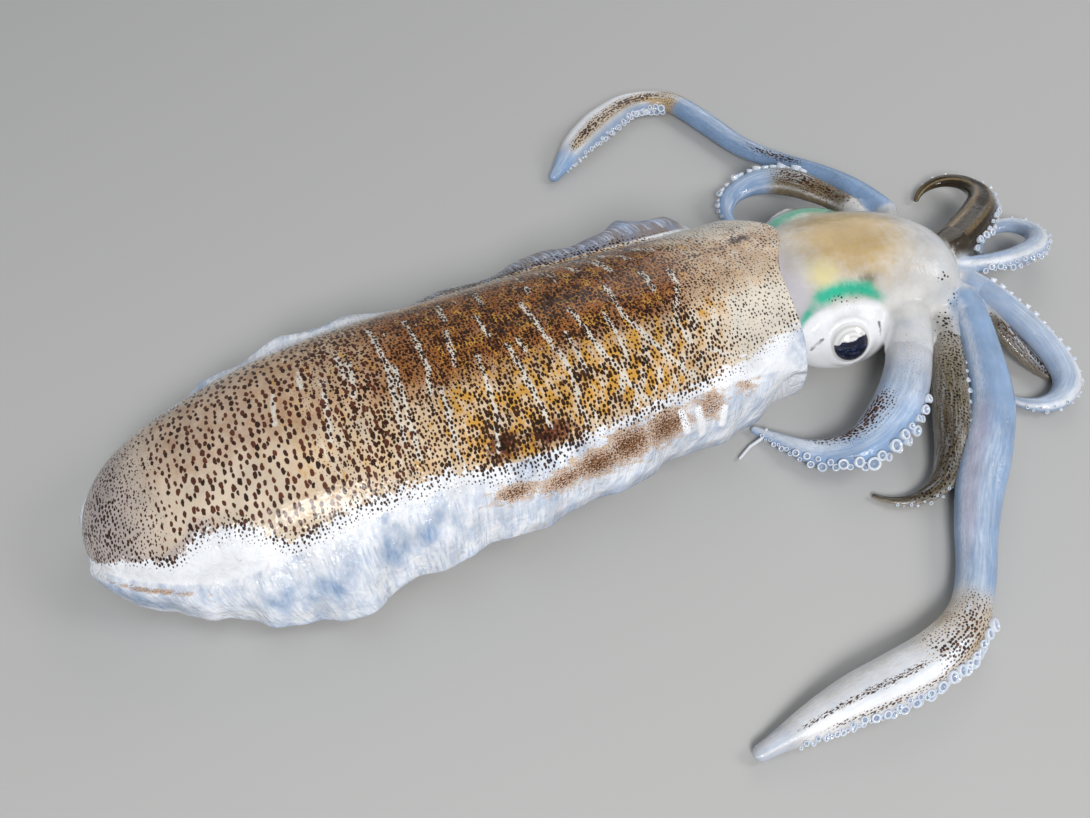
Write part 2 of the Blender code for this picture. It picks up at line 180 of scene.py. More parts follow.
# Sucker rows: limb, side of travel (1 left, -1 right), start, end, count, first and last radius, and
# the turn up from the side of each one after the other, in degrees
SUCKERS = [
    ("arm_a", 1, 0.30, 0.58, 15, 1.0, 1.55, (-2, 24)),
    ("arm_a", 1, 0.60, 0.96, 20, 1.3, 0.45, (-2, 24)),
    ("arm_b", 1, 0.12, 0.92, 38, 0.75, 0.35, (0, 26)),
    ("arm_c", 1, 0.10, 0.93, 36, 0.95, 0.4, (0, 26)),
    ("arm_d", -1, 0.12, 0.93, 38, 0.9, 0.35, (0, 26)),
    ("arm_e", -1, 0.15, 0.92, 32, 1.0, 0.35, (0, 26)),
    ("arm_f", -1, 0.38, 0.72, 11, 1.5, 1.25, (14, 26)),
    ("arm_f", -1, 0.75, 0.94, 8, 1.0, 0.45, (10, 26)),
    ("tentacle_near", 1, 0.61, 0.95, 60, 1.5, 0.55, (-24, 12, -6)),
    ("tentacle_far", 1, 0.62, 0.97, 52, 1.1, 0.45, (-22, 4, -10)),
]
# One ring sucker's shape, and how it stands: its lift off the limb and its least height as shares of its
# radius, how far it leans up, and how much its size, rise in degrees and lean vary along the row
SUCKER_SIDES = 12
SUCKER_LIFT = 0.35
SUCKER_CLEARANCE = 0.9
SUCKER_UPWARD = 0.75
SUCKER_SIZE_SWAY = 0.28
SUCKER_RISE_SWAY = 6.0
SUCKER_LEAN_SWAY = 0.3
# A torn thread of skin hangs off the tip of one arm
TIP_THREAD = [(76.0, -27.6, 2.6), (73.2, -29.4, 1.3), (69.4, -30.2, 0.9), (65.3, -32.4, 0.8)]
TIP_THREAD_RADIUS = 0.5

# Pale lines across the back: places along the mantle with their angles from the far side over the back
PALE_LINES = [
    [(0.287, 80), (0.277, 98)], [(0.328, 74), (0.323, 84)], [(0.382, 71), (0.380, 87)],
    [(0.393, 80), (0.383, 99)], [(0.352, 85), (0.335, 116)], [(0.437, 58), (0.437, 88), (0.420, 130)],
    [(0.445, 90), (0.432, 138)], [(0.487, 62), (0.486, 96), (0.475, 110)], [(0.490, 110), (0.480, 144)],
    [(0.540, 56), (0.537, 72)], [(0.530, 80), (0.520, 100)], [(0.553, 100), (0.547, 126), (0.533, 148)],
    [(0.600, 50), (0.595, 68)], [(0.577, 76), (0.580, 90)], [(0.597, 98), (0.600, 118), (0.608, 144)],
    [(0.613, 97), (0.617, 104)], [(0.643, 76), (0.650, 100), (0.660, 116), (0.657, 150)],
    [(0.667, 64), (0.663, 71)], [(0.679, 102), (0.680, 124)],
    [(0.700, 90), (0.710, 114), (0.730, 134), (0.750, 150)], [(0.740, 98), (0.743, 110)],
    [(0.760, 80), (0.763, 102), (0.783, 120), (0.797, 130), (0.827, 148)],
    [(0.810, 80), (0.817, 94)], [(0.843, 84), (0.850, 96), (0.828, 116), (0.837, 128)],
    [(0.780, 54), (0.779, 72)], [(0.860, 134), (0.887, 143)], [(0.917, 112), (0.913, 134)]]
# White stripes on the near fin: places with their depth below the back
FIN_STRIPES = [[(0.795, 76), (0.802, 92)], [(0.820, 78), (0.826, 98)], [(0.860, 84), (0.856, 96)]]
# Brown patches on the near fin: middle and reach, along the mantle and across the fin, and strength
FIN_PATCHES = [
    ((0.54, 0.42), (0.040, 0.15), 0.9), ((0.61, 0.50), (0.050, 0.18), 0.9),
    ((0.66, 0.46), (0.050, 0.25), 1.0), ((0.71, 0.38), (0.050, 0.30), 1.0),
    ((0.77, 0.38), (0.050, 0.32), 1.0), ((0.84, 0.26), (0.030, 0.34), 0.8),
    ((0.90, 0.14), (0.030, 0.30), 0.6), ((0.075, 0.30), (0.060, 0.10), 0.72)]
# Icy blue patches on the fins, partly their own colour and partly painted shade, in the same places and
# reaches
ICE_AND_SHADE_PATCHES = [((0.26, 0.60), (0.12, 0.40), 0.62), ((0.40, 0.45), (0.12, 0.36), 0.62),
               ((0.04, 0.70), (0.12, 0.50), 0.75)]
# Dark patches on the back: middle and reach, along the mantle and in degrees to the near side
DARK_PATCHES = [
    ((70.0, -8), (3.6, 5), 0.9), ((61.0, -2), (4.5, 5), 0.7), ((65.5, -6), (8.0, 6), 0.5),
    ((94.5, -13), (3.0, 5), 0.9), ((91.0, -10), (2.5, 4), 0.6), ((66.0, 35), (5.0, 3.5), 0.6),
    ((75.0, 37), (5.5, 3.0), 0.5), ((57.0, 40), (4.0, 8), 0.5), ((84.0, 30), (3.0, 5), 0.3)]
# Maroon and gold patches on both flanks, with their places down from the middle of the back
MAROON_PATCHES = [((54.0, 56), (3.5, 12), 1.0), ((61.0, 58), (5.0, 11), 1.0)]
GOLD_PATCHES = [((89.0, 26), (4.5, 20), 0.60)]
# Arcs of gold and grey near the collar: their spacing and how far each bends forward down the flank
ARC_SPACING = 6.3
ARC_BEND = 0.0045
# How far down the flank the fin's edge counts as, in degrees
FIN_DEPTH = 40.0
# How many millimetres of skin a degree round the mantle is
SKIN_DEGREE = 0.45
# Half the width of a pale line, with its soft edge
LINE_REACH = 2.6
# Where the dark spots end on the flank, in degrees from the middle of the back. In places the limit stops
# short of where the spots really end, so the bare silvery skin below it is partly a painted highlight.
SPOT_LIMIT = [(0.0, 80), (0.05, 60), (0.10, 64), (0.15, 48), (0.20, 50), (0.25, 68), (0.33, 60),
              (0.45, 59), (0.52, 66), (0.60, 70), (0.66, 64), (0.80, 62), (0.90, 57), (1.0, 48)]

# Patches of colour on the head: middle, reach and strength
HEAD_PATCHES = {
    "yellow": [((102.5, -4.5, 27.2), (5.0, 6.0, 5.0), 0.9), ((119.0, 17.0, 26.0), (8.0, 3.0, 6.0), 0.6)],
    "tan": [((115.0, 5.5, 29.0), (18.5, 18.5, 14.0), 1.0), ((117.0, -7.0, 26.5), (7.0, 4.0, 5.0), 0.7),
            ((134.0, 15.0, 22.0), (12.0, 7.0, 9.0), 0.7)],
    "olive": [((113.5, -9.0, 25.4), (5.0, 2.2, 2.6), 0.6), ((139.0, 20.0, 18.0), (8.0, 6.0, 6.0), 0.35)],
    "freckles": [((135.5, -13.5, 23.0), (3.5, 5.0, 4.5), 0.9), ((136.5, -18.0, 16.0), (3.5, 4.0, 5.0), 0.8),
                 ((98.0, 9.0, 29.0), (5.0, 4.0, 4.0), 0.25)],
    "flecks": [((104.5, -10.9, 23.2), (4.0, 1.6, 2.0), 0.9), ((108.5, -10.8, 23.5), (3.5, 1.8, 2.0), 0.6),
               ((107.0, -13.0, 21.3), (3.0, 1.8, 2.0), 0.35)],
}
# Shining green crests over the eyes: line, half spread and strength
GREEN_CRESTS = [
    ([(99.5, -9.2, 24.3), (103.5, -9.0, 24.8), (107.5, -9.4, 24.8), (112.7, -10.8, 23.9),
      (116.5, -13.3, 21.8)], 2.7, 1.0),
    ([(91.2, -13.8, 16.5), (93.2, -12.4, 19.5), (95.2, -11.2, 21.6)], 2.0, 0.9),
    ([(92.5, -12.8, 18.5), (96.5, -10.2, 22.8), (101.0, -9.0, 24.6)], 2.4, 0.6),
    ([(98.0, 19.0, 21.5), (105.0, 22.5, 23.6), (113.0, 23.5, 24.4), (121.0, 20.5, 24.2)], 4.6, 0.75),
]
# White round each eye: its reach, and the heights between which it fades out
EYE_WHITES = {"eye_right": ((15.0, 12.0, 13.0), (19.5, 24.5)),
              "eye_left": ((15.0, 12.0, 12.0), (18.0, 22.0))}
# Thin grey lines before and behind the near eye, painted shade of slits in the skin that are not modelled
EYE_SLITS = [[(113.4, -17.7, 17.8), (112.8, -19.9, 14.4)], [(94.3, -15.9, 13.3), (97.1, -16.3, 16.5)]]

# Grain of the skin in millimetres, and how deep its folds are. Real pores are finer than this grain,
# which is as coarse as it needs to be to show.
CLOUD_GRAIN = 9.0
CLUMP_GRAIN = 5.0
FOLD_GRAIN = 3.0
RIB_GRAIN = (0.8, 6.0)
PORE_GRAIN = 0.8
FOLD_DEPTH = 0.6

# Lamps: place, target, size in metres and power in watts
LAMPS = {
    "key_light": ((-0.25, -0.75, 0.70), (0.0, -0.02, 0.02), 0.30, 7.6),
    "fill_light": ((0.75, -0.35, 0.65), (0.05, 0.0, 0.02), 0.35, 2.2),
    "back_light": ((0.60, 0.60, 0.50), (0.08, 0.0, 0.02), 0.60, 1.6),
}
AIR_COLOUR = (0.9, 0.95, 1.0, 1.0)
AIR_STRENGTH = 0.30
FLOOR_SIZE = 6.0
FLOOR_HEIGHT = -0.0002
CAMERA_PLACE = (-0.05461, -0.18160, 0.24056)
CAMERA_LOOK = (0.2563, 0.5895, -0.7660)
CAMERA_LENS = 38.6


def smooth(value):
    """Ease from 0 to 1, level at both ends."""
    value = np.clip(value, 0.0, 1.0)
    return value * value * (3.0 - 2.0 * value)


def ease(low, high, value):
    """Rise smoothly from 0 to 1 between two values."""
    return smooth((value - low) / (high - low))


def fade(low, high, value):
    """Fall smoothly from 1 to 0 between two values."""
    return 1.0 - ease(low, high, value)


def within(low, full, waning, high, value):
    """Rise from 0 to 1 between the first two values and fall back between the last two."""
    return ease(low, full, value) * fade(waning, high, value)


def most(*values):
    """The largest of several values at each point."""
    return np.maximum.reduce(np.broadcast_arrays(*values))


def between(knots, place, column=1):
    """Read a smooth curve through rows of knots that never overshoots them."""
    places = np.array([row[0] for row in knots], float)
    values = np.array([row[column] for row in knots], float)
    widths = np.diff(places)
    slopes = np.diff(values) / widths
    before, after = slopes[:-1], slopes[1:]
    total = np.where(before * after > 0.0, before + after, 1.0)
    inner = np.where(before * after > 0.0, 2.0 * before * after / total, 0.0)
    tangents = np.concatenate([slopes[:1], inner, slopes[-1:]])
    place = np.clip(np.asarray(place, float), places[0], places[-1])
    index = np.clip(np.searchsorted(places, place, side="right") - 1, 0, len(slopes) - 1)
    share = (place - places[index]) / widths[index]
    rise = values[index + 1] - values[index]
    bend = (tangents[index] * (1.0 - share) - tangents[index + 1] * share) * widths[index]
    bend = bend + rise * (2.0 * share - 1.0)
    return values[index] + rise * share + share * (1.0 - share) * bend


def rounded(t, share, inner, outer):
    """Grow from 0 at the tail to 1 at a share of the length, steeply at first."""
    return (1.0 - (1.0 - np.clip(t / share, 0.0, 1.0)) ** inner) ** (1.0 / outer)


def half_width(t):
    narrowing = 1.0 - FRONT_NARROWING * smooth((t - 0.6) / 0.4)
    return MANTLE_HALF_WIDTH * rounded(t, *SIDE_ROUNDING) * narrowing


def top_height(t):
    return TAIL_TOP + (MANTLE_TOP - TAIL_TOP) * rounded(t, *TOP_ROUNDING)


def bottom_height(t):
    return TAIL_LIFT - (TAIL_LIFT + BELLY_FLATTEN) * smooth(t / 0.20)


def mantle_points(t, angle, inset=0.0):
    """Points of the mantle's skin: t from tail to front, angle from the far side over the back."""
    t, angle, inset = np.broadcast_arrays(t, angle, inset)
    top, bottom = top_height(t), bottom_height(t)
    y = np.maximum(half_width(t) - inset, 0.0) * np.cos(angle)
    z = (top + bottom) / 2.0 + np.maximum((top - bottom) / 2.0 - inset, 0.0) * np.sin(angle)
    lobe = np.exp(-((y - BACK_LOBE_Y) / BACK_LOBE_SPREAD) ** 2) * np.maximum(np.sin(angle), 0.0)
    lobe = lobe * np.clip(2.0 - inset / LIP, 0.0, 1.0)
    x = TAIL_X + MANTLE_LENGTH * t + BACK_LOBE * lobe * smooth((t - 0.7) / 0.3)
    return np.stack([x, y, np.maximum(z, np.minimum(inset, 2.0 * LIP))], axis=-1)


def fin_points(t, side, across, layer):
    """Points of one fin: side -1 near or 1 far, across from root to edge, layer 0 upper to 1 under."""
    rows, joins = (FAR_FIN, FAR_JOIN) if side > 0 else (NEAR_FIN, NEAR_JOIN)
    root_angle, overhang, height = (between(rows, t, column) for column in (1, 2, 3))
    join = between(joins, t)
    slope = side * (half_width(t + 0.004) - half_width(t)) / (0.004 * MANTLE_LENGTH)
    run = np.sqrt(1.0 + slope ** 2)
    outward = np.stack([-slope / run, 1.0 / run, 0.0 * t], axis=-1) * side
    up = np.array([0.0, 0.0, 1.0])

    place = (np.clip(t, 0.0, 1.0) / FIN_FRONT) ** (1.0 / FIN_CROWDING)
    calm_ends = smooth(t / 0.2) * smooth((1.0 - t) / 0.15)
    ruffle = RUFFLE * np.sin(2.0 * np.pi * RUFFLES * place) * calm_ends
    frill = FINE_RUFFLE * np.sin(2.0 * np.pi * FINE_RUFFLES * place + 1.0) * across ** 3 * calm_ends
    edge = np.stack([TAIL_X + MANTLE_LENGTH * t, side * half_width(t), 0.0 * t], axis=-1)
    edge = edge + outward * (overhang + ruffle)[..., None] + up * (height + RUFFLE_LIFT * ruffle)[..., None]

    lowered = np.radians(root_angle - join * layer)
    root = mantle_points(t, lowered if side > 0 else np.pi - lowered)
    reach = edge - root
    reach = reach / np.maximum(np.linalg.norm(reach, axis=-1, keepdims=True), 1e-6)
    out_part = (reach * outward).sum(axis=-1, keepdims=True)
    normal = up * out_part - outward * reach[..., 2:]
    turn = np.pi * layer
    rim = normal * (np.cos(turn) - 1.0)[..., None] + reach * np.sin(turn)[..., None]
    edge = edge + rim * FIN_EDGE / 2.0
    swell = np.sin(np.pi * across) * (FIN_SWELL + (UNDER_SWELL - FIN_SWELL) * layer) + frill
    fin = root + (edge - root) * across[..., None] + (outward + up) * swell[..., None]

    flat_angle = np.radians(root_angle - join * (layer + (0.5 - layer) * across))
    flat = mantle_points(t, flat_angle if side > 0 else np.pi - flat_angle)
    grown = smooth((1.0 - t / FIN_FRONT) / FIN_FADE) * smooth(t / 0.01)
    return flat + (fin - flat) * grown[..., None], flat_angle


def body_rows():
    """Rows of points round the mantle and both fins, from the tail to the floor of the collar."""
    t = (np.arange(STATIONS + 1) / STATIONS) ** STATION_CROWDING
    t = np.minimum(t, 1.0)[:, None]
    near_root = np.pi - np.radians(between(NEAR_FIN, t))
    far_root = np.radians(between(FAR_FIN, t))
    near_join = near_root + np.radians(between(NEAR_JOIN, t))
    far_join = 2.0 * np.pi + far_root - np.radians(between(FAR_JOIN, t))
    parts = []

    def add_mantle(start, end, count):
        share = np.linspace(0.0, 1.0, count)[None, :]
        angle = start + (end - start) * share
        parts.append((mantle_points(t, angle), angle, 0.0 * angle, 0.0 * angle))

    def add_fin(side, across, layer):
        across, layer = np.broadcast_arrays(across[None, :], layer[None, :])
        wide = np.broadcast_arrays(t, across, layer)
        points, flat_angle = fin_points(wide[0], side, wide[1], wide[2])
        angle = flat_angle if side > 0 else np.pi - flat_angle
        parts.append((points, angle, wide[1] * side, wide[2] + 0.0 * angle))

    upper = np.linspace(0.0, 1.0, FIN_UPPER_SIDES + 1)[1:]
    lower = np.linspace(1.0, 0.0, FIN_UNDER_SIDES + 1)[:-1]
    rim = np.array([0.25, 0.5, 0.75])
    add_mantle(far_root, near_root, BACK_SIDES)
    add_fin(-1, upper, 0.0 * upper)
    add_fin(-1, np.ones(3), rim)
    add_fin(-1, lower, 0.0 * lower + 1.0)
    add_mantle(near_join, far_join, BELLY_SIDES)
    add_fin(1, lower[::-1], 0.0 * lower + 1.0)
    add_fin(1, np.ones(3), rim[::-1])
    add_fin(1, upper[::-1], 0.0 * upper)
    points, angle, across, layer = (np.concatenate(column, axis=1) for column in zip(*parts))
    near_edge = BACK_SIDES + len(upper) + len(rim) + len(lower)
    points = soften_corners(points, (0, BACK_SIDES - 1, near_edge - 1, near_edge + BELLY_SIDES))

    turn = np.linspace(0.0, np.pi, 8)[1:]
    lips = [(1.0 + 0.5 * LIP / MANTLE_LENGTH * math.sin(a), LIP / 2.0 * (1.0 - math.cos(a))) for a in turn]
    wall = COLLAR_DEPTH / MANTLE_LENGTH
    lips += [(1.0 - wall * share, LIP * (1.0 + 0.8 * share)) for share in (0.2, 0.45, 0.7, 0.9)]
    lips += [(1.0 - wall, 2.0 * LIP), (1.0 - 0.65 * wall, 10.0), (1.0 - 0.5 * wall, 60.0)]
    inner = [mantle_points(np.full_like(angle[-1:], place), angle[-1:], inset) for place, inset in lips]
    points = np.concatenate([points] + inner)
    points[0] = points[0].mean(axis=0)
    points[-1] = points[-1].mean(axis=0)
    places = np.concatenate([np.repeat(t, points.shape[1], axis=1)] + [
        np.full((1, points.shape[1]), 1.0 + inset / MANTLE_LENGTH) for _, inset in lips])
    carried = [np.concatenate([values] + [values[-1:]] * len(lips)) for values in (angle, across, layer)]
    return points, places, *carried


def soften_corners(points, corners, reach=7, passes=14):
    """Round the creases where the fins leave the mantle."""
    index = np.arange(points.shape[1])
    weight = np.zeros(points.shape[1])
    for corner in corners:
        away = np.abs((index - corner + len(index) // 2) % len(index) - len(index) // 2)
        weight = np.maximum(weight, np.clip(1.0 - away / reach, 0.0, 1.0))
    for _ in range(passes):
        middle = (np.roll(points, 1, axis=1) + np.roll(points, -1, axis=1)) / 2.0
        points = points + (middle - points) * 0.6 * weight[None, :, None]
    return points


def skin_through(name, rows):
    """A closed skin through rows of points: a ball whose rings are moved to the rows."""
    count, sides = rows.shape[:2]
    bpy.ops.object.select_all(action="DESELECT")
    bpy.ops.mesh.primitive_uv_sphere_add(segments=sides, ring_count=count - 1, radius=1.0)
    thing = bpy.context.object
    thing.name = name
    at = np.empty(len(thing.data.vertices) * 3)
    thing.data.vertices.foreach_get("co", at)
    at = at.reshape(-1, 3)
    ring = np.rint(np.arccos(np.clip(at[:, 2], -1.0, 1.0)) / np.pi * (count - 1)).astype(int)
    side = np.rint(np.arctan2(at[:, 1], at[:, 0]) / (2.0 * np.pi) * sides).astype(int) % sides
    thing.data.vertices.foreach_set("co", (rows[ring, side] * MM).ravel())
    face_outward(thing)
    return thing, (ring, side)


def face_outward(thing):
    shape = bmesh.new()
    shape.from_mesh(thing.data)
    bmesh.ops.recalc_face_normals(shape, faces=shape.faces)
    shape.to_mesh(thing.data)
    shape.free()
    thing.data.update()
    thing.data.shade_smooth()
    return thing


def join_pieces(pieces, name):
    """Join pieces into the first one, with its name."""
    bpy.ops.object.select_all(action="DESELECT")
    for piece in pieces:
        piece.select_set(True)
    bpy.context.view_layer.objects.active = pieces[0]
    bpy.ops.object.join()
    bpy.context.object.name = name
    return bpy.context.object


def vertex_places(thing):
    """The mesh's vertices in millimetres."""
    at = np.empty(len(thing.data.vertices) * 3)
    thing.data.vertices.foreach_get("co", at)
    return at.reshape(-1, 3) / MM


def mark(thing, **marks):
    """Write named numbers at each vertex for the materials to read."""
    for name, values in marks.items():
        attribute = thing.data.attributes.new(name, "FLOAT", "POINT")
        values = np.broadcast_to(values, len(attribute.data)).astype(np.float32)
        attribute.data.foreach_set("value", values)


def blob(at, centre, reach):
    """1 at a place, fading to 0 around it."""
    away = (np.asarray(at, float) - np.array(centre, float)) / np.array(reach, float)
    return np.exp(-(away ** 2).sum(axis=-1))


def strongest(at, patches):
    """The strongest of several patches at each point; each has a middle, a reach and a strength."""
    return np.max([strength * blob(at, centre, reach) for centre, reach, strength in patches], axis=0)


def line_distance(at, line):
    """Distance from points to a line of straight pieces."""
    best = np.full(at.shape[:-1], 1e9)
    for start, end in zip(np.array(line[:-1], float), np.array(line[1:], float)):
        run = end - start
        share = np.clip(((at - start) @ run) / (run @ run), 0.0, 1.0)
        best = np.minimum(best, np.linalg.norm(at - start - share[..., None] * run, axis=-1))
    return best


def unrolled(rows, angle):
    """Where each point lies on the skin laid flat, in mm: along the body, and round it from the back."""
    steps = np.linalg.norm(np.diff(rows, axis=0), axis=-1)
    along = np.concatenate([np.zeros((1, rows.shape[1])), np.cumsum(steps, axis=0)])
    along = along - along[len(rows) // 2]
    steps = np.linalg.norm(np.roll(rows, -1, axis=1) - rows, axis=-1)
    around = np.cumsum(steps, axis=1) - steps
    middle = [np.interp(np.pi / 2.0, turns[:BACK_SIDES], places[:BACK_SIDES])
              for turns, places in zip(angle, around)]
    around = around - np.array(middle)[:, None]
    whole = steps.sum(axis=1, keepdims=True)
    return along, np.where(around > whole / 2.0, around - whole, around)


def nearest_line(t, turn, lines):
    """How close each point of the mantle is to the nearest of some lines, 1 on a line and 0 off it."""
    at = np.stack([t * MANTLE_LENGTH, turn * SKIN_DEGREE], axis=-1)
    scale = np.array([MANTLE_LENGTH, SKIN_DEGREE])
    away = np.min([line_distance(at, np.array(line) * scale) for line in lines], axis=0)
    return np.clip(1.0 - away / LINE_REACH, 0.0, 1.0)


def body_places(t, angle, across, layer):
    """Named measures of where each point of the mantle and fins lies."""
    degrees = (np.degrees(angle) + 90.0) % 360.0 - 90.0
    down = np.abs(degrees - 90.0)
    fin = np.abs(across)
    inside = ease(1.002, 1.011, t)
    depth = down + FIN_DEPTH * fin
    limit = between(SPOT_LIMIT, t) - 200.0 * inside
    near_flat = np.stack([t * 100.0, degrees - 90.0], axis=-1)
    return SimpleNamespace(
        t=t, degrees=degrees, down=down, fin=fin, layer=layer, near=degrees > 90.0, inside=inside,
        depth=depth, limit=limit, on_fin=ease(0.0, 0.12, fin),
        raised=ease(0.0, FIN_FADE, 1.0 - t / FIN_FRONT),
        flat=np.stack([t * 100.0, down], axis=-1), flat_fin=np.stack([t, fin], axis=-1),
        spotted=fade(limit - 8.0, limit + 9.0, depth),
        upper=within(34.0, 52.0, 98.0, 122.0, degrees),
        tip=fade(0.03, 0.17, t), blotch=strongest(near_flat, DARK_PATCHES))


def back_tints(here):
    """The warm colours of the back, from the pale tail through gold and rust to the cream collar."""
    t, down, upper, spotted = here.t, here.down, here.upper, here.spotted
    tail = fade(0.29, 0.53, t)
    under = ease(100.0, 125.0, down)
    fringe = ease(here.limit - 16.0, here.limit - 2.0, here.depth)
    bend = ARC_BEND * (1.0 + ease(0.66, 0.86, t)) * np.maximum(down - 18.0, 0.0) ** 2
    bend = t * MANTLE_LENGTH + bend
    streaks = 0.15 * np.cos(bend * 2.0 * np.pi / ARC_SPACING)
    streaks = streaks * ease(0.62, 0.76, t) * ease(10.0, 30.0, down)
    gold = 0.64 * ease(0.38, 0.52, t) * (1.0 - 0.55 * ease(0.72, 0.99, t)) * (1.0 - 0.25 * upper)
    return {
        "tail": tail * (1.0 - under),
        "tip": most(here.tip, 0.8 * tail * fringe * fade(0.14, 0.24, t)),
        "brown": most(within(0.28, 0.50, 0.82, 0.92, t) * (0.2 + 0.8 * upper),
                      0.5 * upper * ease(0.04, 0.16, t)),
        "gold": spotted * most(gold - streaks, 0.36 * ease(0.20, 0.30, t),
                               strongest(here.flat, GOLD_PATCHES)),
        "rust": 0.56 * within(0.44, 0.54, 0.70, 0.90, t) * blob(down, 20.0, 22.0) * spotted,
        "cream": 0.85 * ease(0.80, 0.96, t) * (0.45 + 0.55 * ease(10.0, 34.0, down)),
        "honey": 0.45 * within(0.20, 0.30, 0.44, 0.54, t) * spotted,
        "arcs": (0.5 + 1.1 * streaks) * ease(0.26, 0.32, t) * ease(8.0, 24.0, down)
                * fade(here.limit - 3.0, here.limit + 5.0, here.depth),
        "lines": nearest_line(t, here.degrees, PALE_LINES) * (1.0 - here.on_fin),
        "blotch": here.blotch * (1.0 - here.on_fin),
        "maroon": strongest(here.flat, MAROON_PATCHES) * (1.0 - here.on_fin),
    }


def flank_tints(here):
    """The silvery flank and belly, partly a painted highlight, the icy blue and see-through fins with
    painted shade, and the near fin's patches and stripes.
    """
    t, down, fin, on_fin = here.t, here.down, here.fin, here.on_fin
    under = ease(100.0, 125.0, down)
    patch = strongest(here.flat_fin, FIN_PATCHES) * ease(0.02, 0.12, fin)
    patch = patch * fade(0.72, 0.88, fin) * (1.0 - here.layer) * here.near
    # painted highlight: this silvery white is partly the flank's own colour and partly a painted highlight
    # of the wet skin's glare
    silver_and_highlight = most(1.0 - here.spotted, on_fin, under) * (1.0 - 0.9 * patch)
    # painted shade: dark grey on the near fin's edge and over the far fin is painted shade on see-through
    # fins
    glassy_and_shade = np.where(here.near, 0.55 * ease(0.80, 0.95, fin) * ease(0.45, 0.6, t),
                      on_fin * ease(0.42, 0.60, t) * (1.0 - 0.7 * ease(0.86, 1.0, fin)))
    return {
        "silver_and_highlight": silver_and_highlight,
        "crinkle": silver_and_highlight,
        "ribs": ease(0.05, 0.25, fin) * (1.0 - here.layer) * 0.6 * here.raised,
        # painted shade: this blue-grey is partly the fins' own see-through colour and partly painted shade
        "ice_and_shade": np.clip(most(
            strongest(here.flat_fin, ICE_AND_SHADE_PATCHES) * on_fin, 0.40 * on_fin, 0.5 * ease(0.84, 1.0, fin),
            0.45 * ease(0.93, 1.0, t) * ease(30.0, 55.0, down), 0.5 * under, 0.5 * here.inside), 0.0, 1.0),
        "glassy_and_shade": here.raised * glassy_and_shade,
        "stripes": nearest_line(t, here.depth, FIN_STRIPES) * here.near,
        "patch": patch,
    }


def body_spots(here, patch, maroon):
    """How large each kind of pigment spot grows: large by the tail, small in front, fine on top."""
    t, limit, depth = here.t, here.limit, here.depth
    front = ease(0.83, 0.93, t)
    scatter = fade(limit - 4.0, limit + 20.0, depth)
    large = fade(0.38, 0.52, t) * (1.0 - 0.75 * here.tip)
    large = large * (1.0 - 0.5 * ease(limit - 10.0, limit + 3.0, depth))
    small = most(ease(0.24, 0.42, t) * (1.0 - 0.38 * front), 0.95 * here.tip,
                 ease(limit - 12.0, limit + 2.0, depth) * (1.1 - 0.5 * front))
    fine = 0.9 * scatter * ease(0.36, 0.50, t) * (1.0 - 0.5 * front) * (0.35 + 0.65 * here.upper)
    return {
        "large_spots": large * scatter,
        "small_spots": small * scatter * (1.0 + 0.5 * here.blotch + 0.3 * maroon),
        "fine_spots": most(fine, 0.9 * patch, 0.7 * here.blotch * (1.0 - here.on_fin)),
    }


def make_body():
    """Mantle and both fins in one skin, with the marks for its colours."""
    rows, *places = body_rows()
    along, around = unrolled(rows, places[1])
    thing, pick = skin_through("mantle_and_fins", rows)
    here = body_places(*(values[pick] for values in places))
    marks = {"along": along[pick], "around": around[pick], **back_tints(here), **flank_tints(here)}
    marks.update(body_spots(here, marks["patch"], strongest(here.flat, MAROON_PATCHES)))
    mark(thing, **marks)
    return thing


def spread_evenly(values, place):
    """Read values that are spread evenly from 0 to 1."""
    return np.interp(place, np.linspace(0.0, 1.0, len(values)), values)


def limb_path(name):
    """The centre line of a limb as points, half widths and headings in radians, a step apart."""
    root_x, root_y, root_height, landing, length, headings, widths = LIMBS[name]
    steps = round(length / LIMB_STEP)
    place = np.linspace(0.0, 1.0, steps + 1)
    half = np.convolve(np.pad(spread_evenly(widths, place), 3, mode="edge"), np.ones(7) / 7.0, "valid") / 2.0
    heading = np.radians(spread_evenly(headings, place))
    middle = np.radians(spread_evenly(headings, place[:-1] + 0.5 / steps))
    moves = np.stack([np.cos(middle), np.sin(middle)], axis=-1) * length / steps
    flat = np.concatenate([[[0.0, 0.0]], np.cumsum(moves, axis=0)]) + (root_x, root_y)
    rest = half * ARM_FLATNESS + FLOOR_GAP
    height = np.maximum(rest + (root_height - rest) * (1.0 - smooth(place / landing)), rest)
    return np.column_stack([flat, height]), half, heading, place


